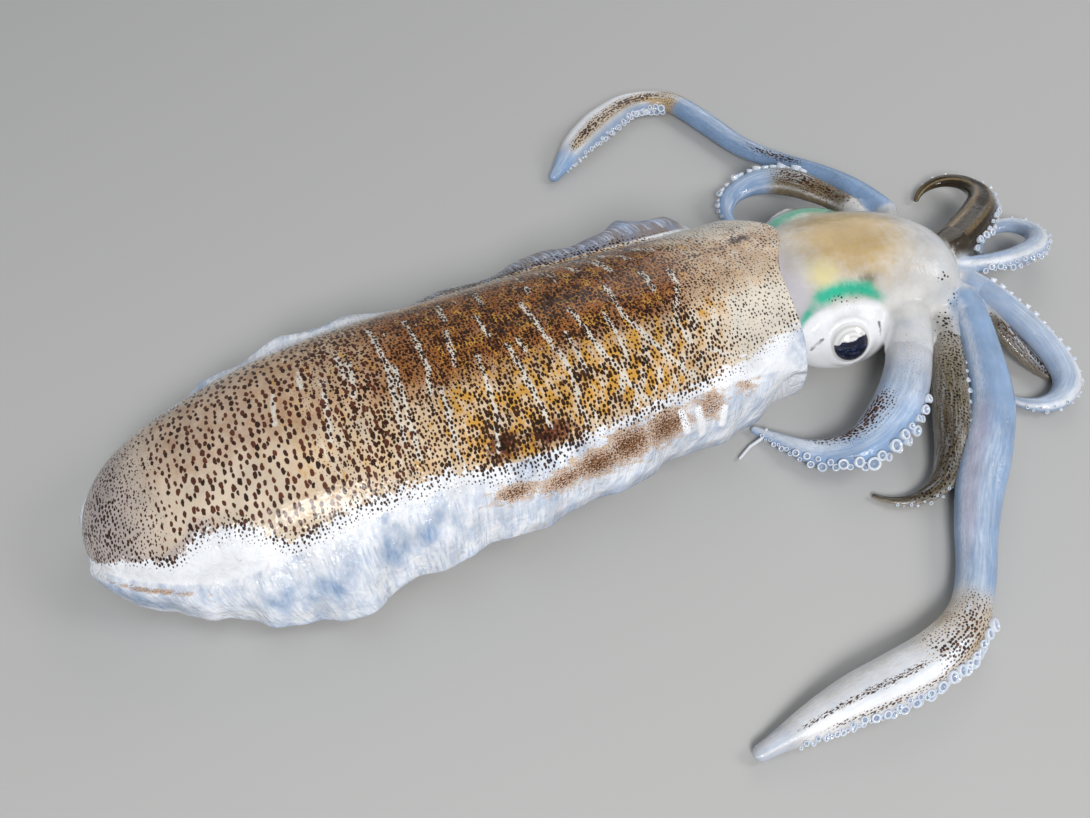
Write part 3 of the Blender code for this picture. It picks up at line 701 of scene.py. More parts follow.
def tube_rows(points, half, heading, place, ridges=(), flatness=ARM_FLATNESS):
    """Rows of points round a limb, with a closed root and a rounded tip."""
    around = np.linspace(0.0, 2.0 * np.pi, LIMB_SIDES, endpoint=False)
    turn = np.degrees(around)[None, :]
    shape = np.ones((len(place), LIMB_SIDES))
    for at, spread, height, start, end in ridges:
        away = (turn - at + 180.0) % 360.0 - 180.0
        held = smooth((place - start) / 0.08) * smooth((end - place) / 0.10)
        shape += height * np.exp(-(away / spread) ** 2) * held[:, None]
    left = np.stack([-np.sin(heading), np.cos(heading), 0.0 * heading], axis=-1)
    forward = np.stack([np.cos(heading), np.sin(heading), 0.0 * heading], axis=-1)
    wide = (half[:, None] * shape * np.cos(around))[..., None] * left[:, None, :]
    tall = (half[:, None] * shape * np.sin(around) * flatness)[..., None] * np.array([0.0, 0.0, 1.0])
    rows = points[:, None, :] + wide + tall
    tip_turn = np.linspace(0.0, np.pi / 2.0, 6)[1:]
    tips = [points[-1] + (rows[-1] - points[-1]) * math.cos(a) + forward[-1] * half[-1] * math.sin(a)
            for a in tip_turn]
    inner = np.array(CROWN) + (points[0] - np.array(CROWN)) * CROWN_SHARE
    roots = [np.repeat(inner[None, :], LIMB_SIDES, axis=0), rows[0] + inner - points[0]]
    rows = np.concatenate([np.array(roots), rows, np.array(tips)])
    rows[..., 2] = np.maximum(rows[..., 2], FLOOR_GAP)
    place = np.concatenate([[0.0, 0.0], place, np.ones(len(tips))])
    return rows, np.repeat(place[:, None], LIMB_SIDES, axis=1), np.repeat(turn, len(rows), axis=0)


def band(turn, centre, spread):
    """1 along one side of a limb, fading to 0 round it."""
    away = (turn - centre + 180.0) % 360.0 - 180.0
    return np.exp(-(away / spread) ** 2)


def limb_marks(name, place, turn):
    """How strong each colour and kind of spot is at each point of a limb."""
    marks = dict.fromkeys((*ROOT_MARKS, "stripe"), 0.0)
    # painted highlight: a pale streak of highlight along the top of each limb, faded in past the root
    marks.update(blue=0.75, sheen=0.6 * band(turn, 90.0, 70.0))
    top = band(turn, 90.0, 75.0)
    if name == "arm_a":
        patch = within(0.30, 0.45, 0.72, 0.86, place) * band(turn, 128.0, 40.0)
        marks.update(blue=0.30 + 0.60 * ease(0.1, 0.5, place), flecks=1.1 * patch, tan=0.4 * patch,
                     white=0.5 * ease(0.55, 0.8, place) * top,
                     freckles=0.35 * top * fade(0.3, 0.5, place))
    elif name == "arm_b":
        marks.update(blue=0.15, olive=0.45 + 0.45 * ease(0.0, 0.4, place) * top,
                     dark=0.75 * ease(0.20, 0.60, place) * band(turn, 110.0, 70.0), tan=0.20,
                     freckles=fade(0.80, 0.97, place) * band(turn, 80.0, 80.0), sheen=0.40)
    elif name in ("arm_c", "arm_d"):
        # painted highlight: the white band along one side of these arms
        marks.update(blue=0.7, white=0.6 * band(turn, 40.0 if name == "arm_c" else 120.0, 30.0))
    elif name == "arm_e":
        # painted highlight: the tan bands at 60 and 112 degrees lie on the two raised ridges as painted
        # highlights on them
        marks.update(blue=0.4 * ease(0.80, 1.0, place), olive=0.9,
                     dark=0.90 - 0.5 * ease(0.8, 1.0, place), freckles=0.3 * top, sheen=0.22,
                     tan=0.55 * band(turn, 60.0, 13.0) + 0.45 * band(turn, 112.0, 11.0))
    elif name == "arm_f":
        dark = fade(0.42, 0.60, place)
        # painted highlight: the white band at 20 degrees is a painted glint on the wet inner side
        marks.update(blue=0.30 + 0.65 * (1.0 - dark), olive=0.8 * dark, dark=0.4 * dark * top,
                     tan=0.3 * dark, white=0.4 * band(turn, 20.0, 14.0),
                     flecks=0.95 * dark * band(turn, 85.0, 70.0))
    elif name in ("arm_g", "arm_h"):
        marks.update(blue=0.0, olive=0.7, dark=0.6 * top, flecks=0.8 * top)
    elif name == "tentacle_near":
        neck = within(0.55, 0.62, 0.70, 0.76, place)
        club = ease(0.62, 0.70, place)
        line = 0.85 * band(turn, 76.0, 8.0) * within(0.70, 0.76, 0.93, 0.97, place)
        edge = band(turn, 30.0, 12.0) * within(0.62, 0.68, 0.88, 0.95, place)
        tip = ease(0.93, 0.97, place)
        # painted highlight: the pale band at 138 degrees along the stalk; the club's white is its own
        marks.update(blue=most(0.85 * (1.0 - most(club, neck)), 0.45 * tip), stripe=line,
                     tan=0.55 * neck + 0.40 * club * band(turn, 115.0, 30.0) + 0.45 * edge,
                     flecks=most(0.8 * neck * band(turn, 70.0, 85.0), 0.5 * line, 0.85 * edge),
                     white=(1.0 - 0.5 * tip) * most(club * band(turn, 56.0, 16.0), 0.45 * club,
                                                    0.38 * band(turn, 138.0, 24.0) * (1.0 - club)),
                     pink=0.6 * band(turn, 120.0, 30.0) * within(0.15, 0.3, 0.45, 0.6, place))
    elif name == "tentacle_far":
        club = ease(0.58, 0.66, place)
        tip = ease(0.90, 0.97, place)
        stripe = band(turn, 72.0, 25.0) * club * (1.0 - tip)
        spot = within(0.20, 0.26, 0.32, 0.42, place) * band(turn, 72.0, 34.0)
        neck = within(0.56, 0.60, 0.64, 0.70, place)
        marks.update(blue=most(1.0 - club, 0.75 * band(turn, 10.0, 34.0), tip),
                     dark=most(0.5 * spot, 0.27 * (1.0 - club)),
                     tan=1.1 * stripe + 0.7 * neck,
                     flecks=most(1.1 * stripe, spot, 0.5 * neck),
                     white=club * band(turn, 124.0, 24.0) * (1.0 - tip))
    marks["sheen"] = marks["sheen"] * ease(0.10, 0.35, place)
    return marks


def make_limb(name):
    """An arm or tentacle along its route, with the marks for its colours."""
    points, half, heading, place_here = limb_path(name)
    rows, place, turn = tube_rows(points, half, heading, place_here, ridges=RIDGES[name])
    thing, pick = skin_through(name, rows)
    place, turn = place[pick], turn[pick]
    around = np.radians((turn + 90.0) % 360.0 - 180.0) * np.interp(place, place_here, half)
    mark(thing, **limb_marks(name, place, turn), along=place * LIMBS[name][4], around=around)
    return thing


def eye_place(name):
    """The centre of an eyeball and the way it looks."""
    outward = np.array(EYE_DIRECTIONS[name]) / np.linalg.norm(EYE_DIRECTIONS[name])
    on_bulge = np.array(EYE_CENTRES[name]) + outward * np.array(EYE_BULGE)
    return on_bulge - outward * EYEBALL_SEAT, outward


def head_rows():
    """Rows of points round the head, blunt in front and narrower at the neck."""
    forward = -np.cos(np.linspace(0.0, np.pi, 41))[:, None]
    around = np.linspace(0.0, 2.0 * np.pi, 56, endpoint=False)[None, :]
    blunt = np.where(forward > 0.0, FRONT_BLUNTNESS, NECK_BLUNTNESS)
    reach = np.maximum(1.0 - np.minimum(np.abs(forward), 1.0) ** blunt, 0.0) ** HEAD_ROUNDNESS
    side = np.sin(around) * reach * HEAD_HALF_WIDTH - HEAD_TURN * smooth(forward)
    rise = np.cos(around) * reach * HEAD_HALF_HEIGHT
    return np.array(HEAD_CENTRE) + np.stack([forward * HEAD_HALF_LENGTH + 0.0 * side, side, rise], axis=-1)


def ball_rows(centre, radii):
    """Rows of points round a ball or an egg."""
    polar = np.linspace(0.0, np.pi, 25)[:, None]
    around = np.linspace(0.0, 2.0 * np.pi, 32, endpoint=False)[None, :]
    unit = np.stack([np.sin(polar) * np.cos(around), np.sin(polar) * np.sin(around),
                     np.cos(polar) + 0.0 * around], axis=-1)
    return np.array(centre) + unit * np.array(radii)


def make_eyelid(name):
    """A soft ring of skin round the eye opening."""
    centre, outward = eye_place(name)
    look = Vector(outward).to_track_quat("Z", "Y")
    bpy.ops.object.select_all(action="DESELECT")
    bpy.ops.mesh.primitive_torus_add(
        major_segments=40, minor_segments=12, major_radius=EYELID_RADIUS * MM,
        minor_radius=EYELID_THICKNESS / 2.0 * MM, rotation=look.to_euler(),
        location=Vector((centre + outward * EYELID_SEAT) * MM))
    thing = bpy.context.object
    bpy.ops.object.transform_apply(location=True, rotation=True, scale=True)
    return thing


def make_funnel():
    """The water spout under the neck."""
    place = np.linspace(0.0, 1.0, 12)
    points = np.linspace(*np.array(FUNNEL_ROUTE), 12)
    rows = tube_rows(points, np.linspace(*FUNNEL_RADII, 12), 0.0 * place, place, flatness=0.9)[0]
    return skin_through("funnel", rows[2:])[0]


def make_root(name):
    """The first stretch of a limb, which the head grows out round."""
    points, half, heading, place = limb_path(name)
    stub = int((ROOT_STUB + half[0] * 1.2) / LIMB_STEP)
    shares, swells = zip(*ROOT_SWELL)
    swell = np.interp(np.linspace(0.0, 1.0, stub), shares, swells)
    rows = tube_rows(points[:stub], half[:stub] * swell, heading[:stub], place[:stub], RIDGES[name])[0]
    return skin_through(name + "_root", rows)[0]


def make_head():
    """Head, eye bulges, eyelids, funnel and arm roots grown together into one soft form."""
    pieces = [skin_through("head", head_rows())[0], make_funnel()]
    for name, centre in EYE_CENTRES.items():
        pieces.append(skin_through(name + "_bulge", ball_rows(centre, EYE_BULGE))[0])
        pieces.append(make_eyelid(name))
    pieces += [make_root(name) for name in LIMBS]
    head = join_pieces(pieces, "head")
    grow = head.modifiers.new("grow", "REMESH")
    grow.mode = "VOXEL"
    grow.voxel_size = HEAD_GRAIN * MM
    even = head.modifiers.new("even", "SMOOTH")
    even.factor = 0.5
    even.iterations = 5
    for modifier in ("grow", "even"):
        bpy.ops.object.modifier_apply(modifier=modifier)
    face_outward(head)
    mark_head(head)
    return head


def root_marks(at):
    """The limbs' colours where they run onto the head, and how much of each place they take."""
    marks = dict.fromkeys(ROOT_MARKS, 0.0)
    total = np.full(len(at), 1e-6)
    for name in LIMBS:
        points, half, heading, place = limb_path(name)
        reach = int(ROOT_REACH / LIMB_STEP)
        away = np.linalg.norm(at[:, None, :] - points[None, :reach, :], axis=-1)
        nearest = away.argmin(axis=1)
        closeness = np.exp(-(np.maximum(away.min(axis=1) - half[nearest] * 0.9, 0.0) / 2.0) ** 2)
        closeness = closeness * ease(-0.10, 0.12, nearest / reach)
        offset = at - points[nearest]
        left = np.stack([-np.sin(heading[nearest]), np.cos(heading[nearest])], axis=-1)
        turn = np.degrees(np.arctan2(offset[:, 2], (offset[:, :2] * left).sum(axis=1))) % 360.0
        found = limb_marks(name, place[nearest], turn)
        marks = {key: values + closeness * found[key] for key, values in marks.items()}
        total = total + closeness
    return {key: values / np.maximum(total, 1.0) for key, values in marks.items()}, total


def mark_head(head):
    """Write how each place of the head is coloured, from named places on it."""
    at = vertex_places(head)
    marks, total = root_marks(at)
    for name, (reach, (low, high)) in EYE_WHITES.items():
        round_eye = np.linalg.norm((at - eye_place(name)[0]) / reach, axis=1)
        white = fade(0.75, 1.05, round_eye) * fade(low, high, at[:, 2])
        marks["white"] = most(marks["white"], white)
    for key, patches in HEAD_PATCHES.items():
        marks[key] = most(marks.get(key, 0.0), strongest(at, patches))
    green = np.max([strength * np.exp(-(line_distance(at, line) / spread) ** 2)
                    for line, spread, strength in GREEN_CRESTS], axis=0)
    marks["green"] = green * (1.0 - 0.55 * ease(112.5, 118.0, at[:, 0]) * (at[:, 1] < 5.0))
    free = 1.0 - np.minimum(total, 1.0)
    marks["blue"] = most(marks["blue"], 0.25 * free * ease(124.0, 136.0, at[:, 0]))
    marks["lavender"] = fade(92.0, 104.0, at[:, 0]) * 0.8
    slits = np.min([line_distance(at, line) for line in EYE_SLITS], axis=0)
    marks["slits"] = np.clip(1.0 - slits / LINE_REACH, 0.0, 1.0)
    mark(head, **marks)


def make_eye(name):
    """An eyeball with marks for where it lies from its middle, sideways and up."""
    centre, outward = eye_place(name)
    thing, _ = skin_through(name + "_ball", ball_rows(centre, (EYEBALL_RADIUS,) * 3))
    lift = np.array([0.0, 0.0, 1.0]) - outward * outward[2]
    lift = lift / np.linalg.norm(lift)
    across = np.cross(lift, outward)
    away = vertex_places(thing) - centre
    depth = away @ outward
    mark(thing, eye_across=np.where(depth > 0.0, away @ across, 9.0),
         eye_up=np.where(depth > 0.0, away @ lift, 9.0))
    return thing


def ring_sucker():
    """One small cup on a short stalk, facing up, 2 wide: a short cylinder, pinched, sunk and rimmed."""
    bpy.ops.object.select_all(action="DESELECT")
    bpy.ops.mesh.primitive_cylinder_add(vertices=SUCKER_SIDES, radius=1.0, depth=1.0, end_fill_type="NGON")
    cup = bpy.context.object
    bpy.ops.object.mode_set(mode="EDIT")
    shape = bmesh.from_edit_mesh(cup.data)

    def pick_face(height):
        for face in shape.faces:
            face.select_set(abs(face.calc_center_median().z - height) < 0.01 and abs(face.normal.z) > 0.9)
        bmesh.update_edit_mesh(cup.data)

    pick_face(-0.5)
    bpy.ops.transform.resize(value=(0.72, 0.72, 1.0))
    bpy.ops.mesh.extrude_region_move(TRANSFORM_OT_translate={"value": (0.0, 0.0, -1.1)})
    bpy.ops.transform.resize(value=(0.6, 0.6, 1.0))
    pick_face(0.5)
    bpy.ops.mesh.inset(thickness=0.16, depth=0.14)
    bpy.ops.mesh.inset(thickness=0.16, depth=0.0)
    bpy.ops.mesh.inset(thickness=0.10, depth=-0.5)
    bpy.ops.object.mode_set(mode="OBJECT")
    x, y, z = (vertex_places(cup) * MM).T
    mark(cup, hollow=(z < 0.4) & (z > -0.3) & (np.hypot(x, y) < 0.7))
    return cup


def sucker_seat(limb, side, at, radius, rise, lean_sway):
    """Where a ring sucker sits on a limb and the way it faces, as a matrix in metres."""
    path, half, heading, place = limb
    where = np.array([np.interp(at, place, path[:, axis]) for axis in range(3)])
    wide = np.interp(at, place, half)
    level = np.interp(at, place, heading) + math.pi / 2.0 * side
    outward = np.array([math.cos(level) * math.cos(rise), math.sin(level) * math.cos(rise), math.sin(rise)])
    seat = where + outward * wide * (1.0, 1.0, ARM_FLATNESS) + outward * radius * SUCKER_LIFT
    seat[2] = max(seat[2], radius * SUCKER_CLEARANCE)
    lean = outward + (0.0, 0.0, SUCKER_UPWARD)
    lean = lean + np.array([-math.sin(level), math.cos(level), 0.0]) * lean_sway
    return Matrix.LocRotScale(Vector(seat * MM), Vector(lean).to_track_quat("Z", "Y"), (radius * MM,) * 3)


def make_suckers():
    """All the ring suckers, copies of one, along the edges of the arms and the tentacle clubs."""
    cup = ring_sucker()
    copies = []
    for name, side, start, end, count, first, last, rises in SUCKERS:
        limb = limb_path(name)
        for index in range(count):
            share = index / (count - 1)
            radius = (first + (last - first) * share) * (1.0 + SUCKER_SIZE_SWAY * math.sin(index * 2.4))
            rise = math.radians(rises[index % len(rises)] + SUCKER_RISE_SWAY * math.sin(index * 3.7))
            copy = cup.copy()
            copy.data = cup.data.copy()
            copy.data.transform(sucker_seat(limb, side, start + (end - start) * share, radius, rise,
                                            SUCKER_LEAN_SWAY * math.sin(index * 1.7)))
            bpy.context.scene.collection.objects.link(copy)
            copies.append(copy)
    bpy.data.objects.remove(cup)
    return face_outward(join_pieces(copies, "ring_suckers"))


def make_thread():
    """A thin torn thread of skin at the tip of an arm."""
    place = np.linspace(0.0, 1.0, 16)
    path = np.stack([spread_evenly(values, place) for values in zip(*TIP_THREAD)], axis=-1)
    run = np.gradient(path, axis=0)
    half = np.linspace(TIP_THREAD_RADIUS, TIP_THREAD_RADIUS * 0.8, 16)
    rows = tube_rows(path, half, np.arctan2(run[:, 1], run[:, 0]), place, flatness=1.0)[0][2:]
    rows[0] = rows[0].mean(axis=0)
    rows[-1] = rows[-1].mean(axis=0)
    thing, _ = skin_through("arm_tip_thread", rows)
    mark(thing, blue=0.6, white=0.6)
    return thing


def linear(hex_colour):
    """An sRGB hex colour as linear RGBA."""
    parts = [int(hex_colour[index:index + 2], 16) / 255.0 for index in (1, 3, 5)]
    parts = [part / 12.92 if part <= 0.04045 else ((part + 0.055) / 1.055) ** 2.4 for part in parts]
    return (*parts, 1.0)


def add(tree, kind, links=None, out=0, **settings):
    """Add a node with its settings, link or set its inputs, and give back one of its outputs."""
    node = tree.nodes.new("ShaderNode" + kind)
    for name, value in settings.items():
        setattr(node, name, value)
    for name, value in (links or {}).items():
        if isinstance(value, bpy.types.NodeSocket):
            tree.links.new(value, node.inputs[name])
        else:
            node.inputs[name].default_value = value
    return node.outputs[out]


def blank_material(name):
    """A new material, its node tree and its shader."""
    material = bpy.data.materials.new(name)
    material.use_nodes = True
    return material, material.node_tree, material.node_tree.nodes["Principled BSDF"]


def finish(shader, values):
    """Set numbers that are the same all over on the shader's own sockets."""
    for name, value in values.items():
        shader.inputs[name].default_value = value


def wet_skin(name, base, tints, spots, laid_flat, see_through=0.14):
    """Raw squid skin: soft, half see-through flesh with pigment sacs in it, under a film of water.

    A tint is (mark, colour, low, high, raggedness, grain in mm, draw-out across the body); it covers
    where its mark, broken up by cloud of that grain, rises from low to high. Spots are (mark, spacing in
    mm, half height as a share of the spacing, dark colour, lighter colour, how many times narrower
    along the body, share by which they swell and shrink in clumps).
    """
    material, tree, shader = blank_material(name)
    place = add(tree, "TexCoord", out="Object")
    skin = add(tree, "VectorMath", {0: place, 1: (1.0 / MM,) * 3}, operation="MULTIPLY")
    if laid_flat:
        along = add(tree, "Attribute", out="Fac", attribute_name="along")
        around = add(tree, "Attribute", out="Fac", attribute_name="around")
        skin = add(tree, "CombineXYZ", {"X": along, "Y": around})
    cloud = add(tree, "TexNoise", {"Vector": skin, "Scale": 1.0 / CLOUD_GRAIN, "Detail": 4.0})
    shade = add(tree, "MapRange", {"Value": cloud, "From Min": 0.3, "From Max": 0.7,
                                   "To Min": 0.80, "To Max": 1.06})
    ground = linear(base)
    for index, (mark_name, colour, low, high, ragged, grain, drawn) in enumerate(tints):
        amount = add(tree, "Attribute", out="Fac", attribute_name=mark_name)
        moved = add(tree, "Mapping", {"Vector": skin, "Location": (5.3 * index, 2.1 * index, 0.0),
                                      "Scale": (1.0 / grain, 1.0 / (grain * drawn), 1.0 / grain)})
        rough = add(tree, "TexNoise", {"Vector": moved, "Scale": 1.0, "Detail": 3.0, "Roughness": 0.6})
        rough = add(tree, "Math", {0: rough, 1: -0.5}, operation="ADD")
        amount = add(tree, "Math", {0: rough, 1: ragged, 2: amount}, operation="MULTIPLY_ADD")
        amount = add(tree, "MapRange", {"Value": amount, "From Min": low, "From Max": high},
                     interpolation_type="SMOOTHSTEP")
        ground = add(tree, "Mix", {0: amount, 6: ground, 7: linear(colour)}, out=2, data_type="RGBA")
    ground = add(tree, "Mix", {0: 1.0, 6: ground, 7: shade}, out=2, data_type="RGBA", blend_type="MULTIPLY")
    clumps = add(tree, "TexNoise", {"Vector": skin, "Scale": 1.0 / CLUMP_GRAIN, "Detail": 3.0,
                                    "Roughness": 0.6})
    clumps = add(tree, "MapRange", {"Value": clumps, "From Min": 0.34, "From Max": 0.66, "To Min": -1.0})
    for index, (mark_name, cell, radius, dark, light, narrow, clumped) in enumerate(spots):
        amount = add(tree, "Attribute", out="Fac", attribute_name=mark_name)
        moved = add(tree, "Mapping", {"Vector": skin, "Location": (13.0 * index, 7.0 * index, 0.0),
                                      "Scale": (1.0 / cell,) * 3})
        wobble = add(tree, "TexNoise", {"Vector": moved, "Scale": 1.6, "Detail": 1.0}, out=1)
        wobble = add(tree, "VectorMath", {0: wobble, 1: (0.5, 0.5, 0.5)}, operation="SUBTRACT")
        moved = add(tree, "VectorMath", {0: wobble, 1: (0.35, 0.35, 0.35), 2: moved},
                    operation="MULTIPLY_ADD")
        cells = add(tree, "TexVoronoi", {"Vector": moved, "Scale": 1.0,
                                         "Randomness": 0.72 if laid_flat else 0.95},
                    voronoi_dimensions="2D" if laid_flat else "3D")
        own = cells.node.outputs["Color"]
        away = add(tree, "VectorMath", {0: moved, 1: cells.node.outputs["Position"]}, operation="SUBTRACT")
        away = add(tree, "VectorMath", {0: away, 1: (narrow, 1.0, 1.0)}, operation="MULTIPLY")
        away = add(tree, "VectorMath", {0: away}, out=1, operation="LENGTH")
        chance = add(tree, "SeparateColor", {"Color": own}, out=0)
        hue = add(tree, "SeparateColor", {"Color": own}, out=1)
        size = add(tree, "MapRange", {"Value": chance, "To Min": radius * 0.72, "To Max": radius * 1.15})
        size = add(tree, "Math", {0: size, 1: amount}, operation="MULTIPLY")
        swell = add(tree, "Math", {0: clumps, 1: clumped, 2: 1.0}, operation="MULTIPLY_ADD")
        size = add(tree, "Math", {0: size, 1: swell}, operation="MULTIPLY")
        far = add(tree, "Math", {0: size, 1: away}, operation="SUBTRACT")
        cover = add(tree, "MapRange", {"Value": far, "From Min": 0.0, "From Max": 0.09, "To Max": 0.98})
        tone = add(tree, "Mix", {0: hue, 6: linear(dark), 7: linear(light)}, out=2, data_type="RGBA")
        ground = add(tree, "Mix", {0: cover, 6: ground, 7: tone}, out=2, data_type="RGBA")
    tree.links.new(ground, shader.inputs["Base Color"])

    folds = add(tree, "TexNoise", {"Vector": skin, "Scale": 1.0 / FOLD_GRAIN, "Detail": 4.0,
                                   "Distortion": 0.8})
    crinkle = add(tree, "Attribute", out="Fac", attribute_name="crinkle")
    crinkle = add(tree, "MapRange", {"Value": crinkle, "To Min": 0.30, "To Max": 1.6})
    folds = add(tree, "Math", {0: folds, 1: crinkle}, operation="MULTIPLY")
    thin = add(tree, "Mapping", {"Vector": skin, "Scale": (1.0 / RIB_GRAIN[0], 1.0 / RIB_GRAIN[1], 1.0)})
    thin = add(tree, "TexNoise", {"Vector": thin, "Scale": 1.0, "Detail": 2.0})
    ribs = add(tree, "Attribute", out="Fac", attribute_name="ribs")
    ribs = add(tree, "Math", {0: thin, 1: ribs}, operation="MULTIPLY")
    folds = add(tree, "Math", {0: ribs, 1: 0.8, 2: folds}, operation="MULTIPLY_ADD")
    pores = add(tree, "TexNoise", {"Vector": place, "Scale": 1.0 / (PORE_GRAIN * MM), "Detail": 2.0})
    height = add(tree, "Math", {0: pores, 1: 0.14, 2: folds}, operation="MULTIPLY_ADD")
    bump = add(tree, "Bump", {"Height": height, "Strength": 0.8, "Distance": FOLD_DEPTH * MM})
    tree.links.new(bump, shader.inputs["Normal"])
    tree.links.new(bump, shader.inputs["Coat Normal"])
    finish(shader, {
        "Roughness": 0.42, "IOR": 1.36, "Specular IOR Level": 0.05, "Subsurface Weight": see_through,
        "Subsurface Radius": (1.0, 0.8, 0.7), "Subsurface Scale": 1.0 * MM, "Coat Weight": 1.0,
        "Coat Roughness": 0.06, "Coat IOR": 1.33})
    return material


def body_skin():
    """Mantle skin: cream flesh under drifts of gold and rust, peppered with brown pigment spots.

    The eye sees crisp dark dots on a warm back, a milky silvery flank that is partly a painted highlight,
    and fins that pass to icy blue with painted shade in their blue-grey patches and dark edges, all under
    one clear film of water.
    """
    tints = [
        ("tail", "#dac8b2", 0.2, 0.8, 0.4, 8.0, 1.0),
        ("honey", "#d8b280", 0.1, 1.0, 1.3, 3.5, 2.5),
        ("brown", "#9c602f", 0.1, 1.1, 0.8, 3.5, 1.6),
        ("tip", "#b1a6a6", 0.1, 1.3, 0.6, 4.0, 1.0),
        ("gold", "#d29d47", 0.44, 0.76, 1.5, 1.8, 2.4),
        ("rust", "#b0662f", 0.50, 0.78, 1.2, 3.4, 1.8),
        ("cream", "#e4dacb", 0.2, 0.8, 0.9, 2.4, 2.5),
        ("arcs", "#e2d9ca", 0.57, 0.72, 1.0, 1.3, 6.0),
        # painted highlight: near-white that is partly the flank's own colour and partly a painted highlight
        # of glare
        ("silver_and_highlight", "#f3f4f8", 0.40, 0.62, 2.2, 2.2, 0.6),
        # painted shade: dark grey on the see-through fin edges
        ("glassy_and_shade", "#857b78", 0.2, 0.9, 0.5, 5.0, 1.0),
        # painted shade: blue-grey that is partly the fins' own colour and partly painted shade
        ("ice_and_shade", "#86a0c2", 0.2, 0.95, 1.3, 5.0, 1.6),
        ("ribs", "#bccadf", 0.55, 0.80, 0.9, 0.8, 7.0),
        ("patch", "#ceb5a2", 0.28, 0.80, 1.6, 2.6, 0.6),
        ("patch", "#7d5433", 0.66, 1.00, 2.0, 0.8, 0.4),
        ("maroon", "#6a3c2b", 0.45, 0.95, 1.2, 1.3, 1.0),
        ("blotch", "#3c241a", 0.42, 1.00, 1.6, 1.5, 1.0),
        ("lines", "#e0d8cb", 0.68, 0.86, 0.8, 1.0, 2.5),
        ("stripes", "#fbfbfd", 0.50, 0.75, 0.35, 1.3, 1.0),
    ]
    spots = [
        ("fine_spots", 0.66, 0.44, "#1f1008", "#543018", 1.2, 0.30),
        ("small_spots", 1.05, 0.47, "#170b05", "#402210", 1.35, 0.38),
        ("large_spots", 1.95, 0.50, "#200f0a", "#5f3020", 1.8, 0.12),
    ]
    return wet_skin("raw_mantle_skin", "#dfc6a8", tints, spots, laid_flat=True, see_through=0.06)


def limb_skin():
    """Arm skin: bluish, half see-through flesh that the eye reads as glass-like, with long pale streaks of
    painted highlight.
    """
    tints = [
        ("blue", "#8ba8cd", 0.05, 1.05, 0.5, 5.0, 0.3),
        ("olive", "#61553a", 0.1, 0.95, 0.6, 2.0, 0.2),
        ("dark", "#31271b", 0.1, 0.95, 0.8, 1.6, 0.12),
        ("tan", "#b99f77", 0.1, 0.9, 0.6, 1.6, 0.2),
        ("white", "#f7f7f9", 0.1, 0.8, 0.5, 1.6, 0.3),
        ("pink", "#bfb0c2", 0.1, 1.0, 0.3, 4.0, 0.5),
        # painted highlight: long pale streaks along the limbs
        ("sheen", "#dbe4f0", 0.30, 1.05, 0.9, 7.0, 0.12),
        ("stripe", "#4f3520", 0.55, 0.75, 2.2, 0.9, 0.35),
    ]
    spots = [
        ("freckles", 0.95, 0.36, "#14100c", "#332820", 1.0, 0.3),
        ("flecks", 0.90, 0.44, "#1a110d", "#5f3a22", 0.7, 0.25),
    ]
    return wet_skin("raw_arm_skin", "#cdcac8", tints, spots, laid_flat=True)


def head_skin():
    """Head skin: milky flesh with a tan crown, white round the eyes and a shining green crest over each."""
    tints = [
        ("lavender", "#c9c4ca", 0.1, 0.9, 0.4, 4.0, 1.0),
        ("blue", "#8ba8cd", 0.05, 1.05, 0.5, 5.0, 1.0),
        ("tan", "#c9ad7c", 0.1, 0.95, 0.6, 2.5, 1.0),
        ("olive", "#5d5541", 0.1, 0.95, 0.4, 3.0, 1.0),
        ("dark", "#3b3226", 0.1, 0.95, 0.4, 3.0, 1.0),
        ("yellow", "#ddd2a0", 0.1, 1.0, 0.6, 2.0, 1.0),
        ("green", "#35bd9a", 0.12, 1.05, 0.5, 1.6, 1.0),
        ("white", "#f8f8fa", 0.1, 0.8, 0.4, 2.0, 1.0),
        ("pink", "#bfb0c2", 0.1, 1.0, 0.3, 4.0, 1.0),
        # painted shade: thin grey lines for the slits by the near eye
        ("slits", "#7f7b84", 0.74, 0.92, 0.2, 1.0, 1.0),
    ]
    spots = [
        ("freckles", 1.15, 0.42, "#14100c", "#332820", 1.0, 0.3),
        ("flecks", 0.95, 0.58, "#1a110d", "#5f3a22", 1.0, 0.2),
    ]
    return wet_skin("raw_head_skin", "#dad8d6", tints, spots, laid_flat=False)


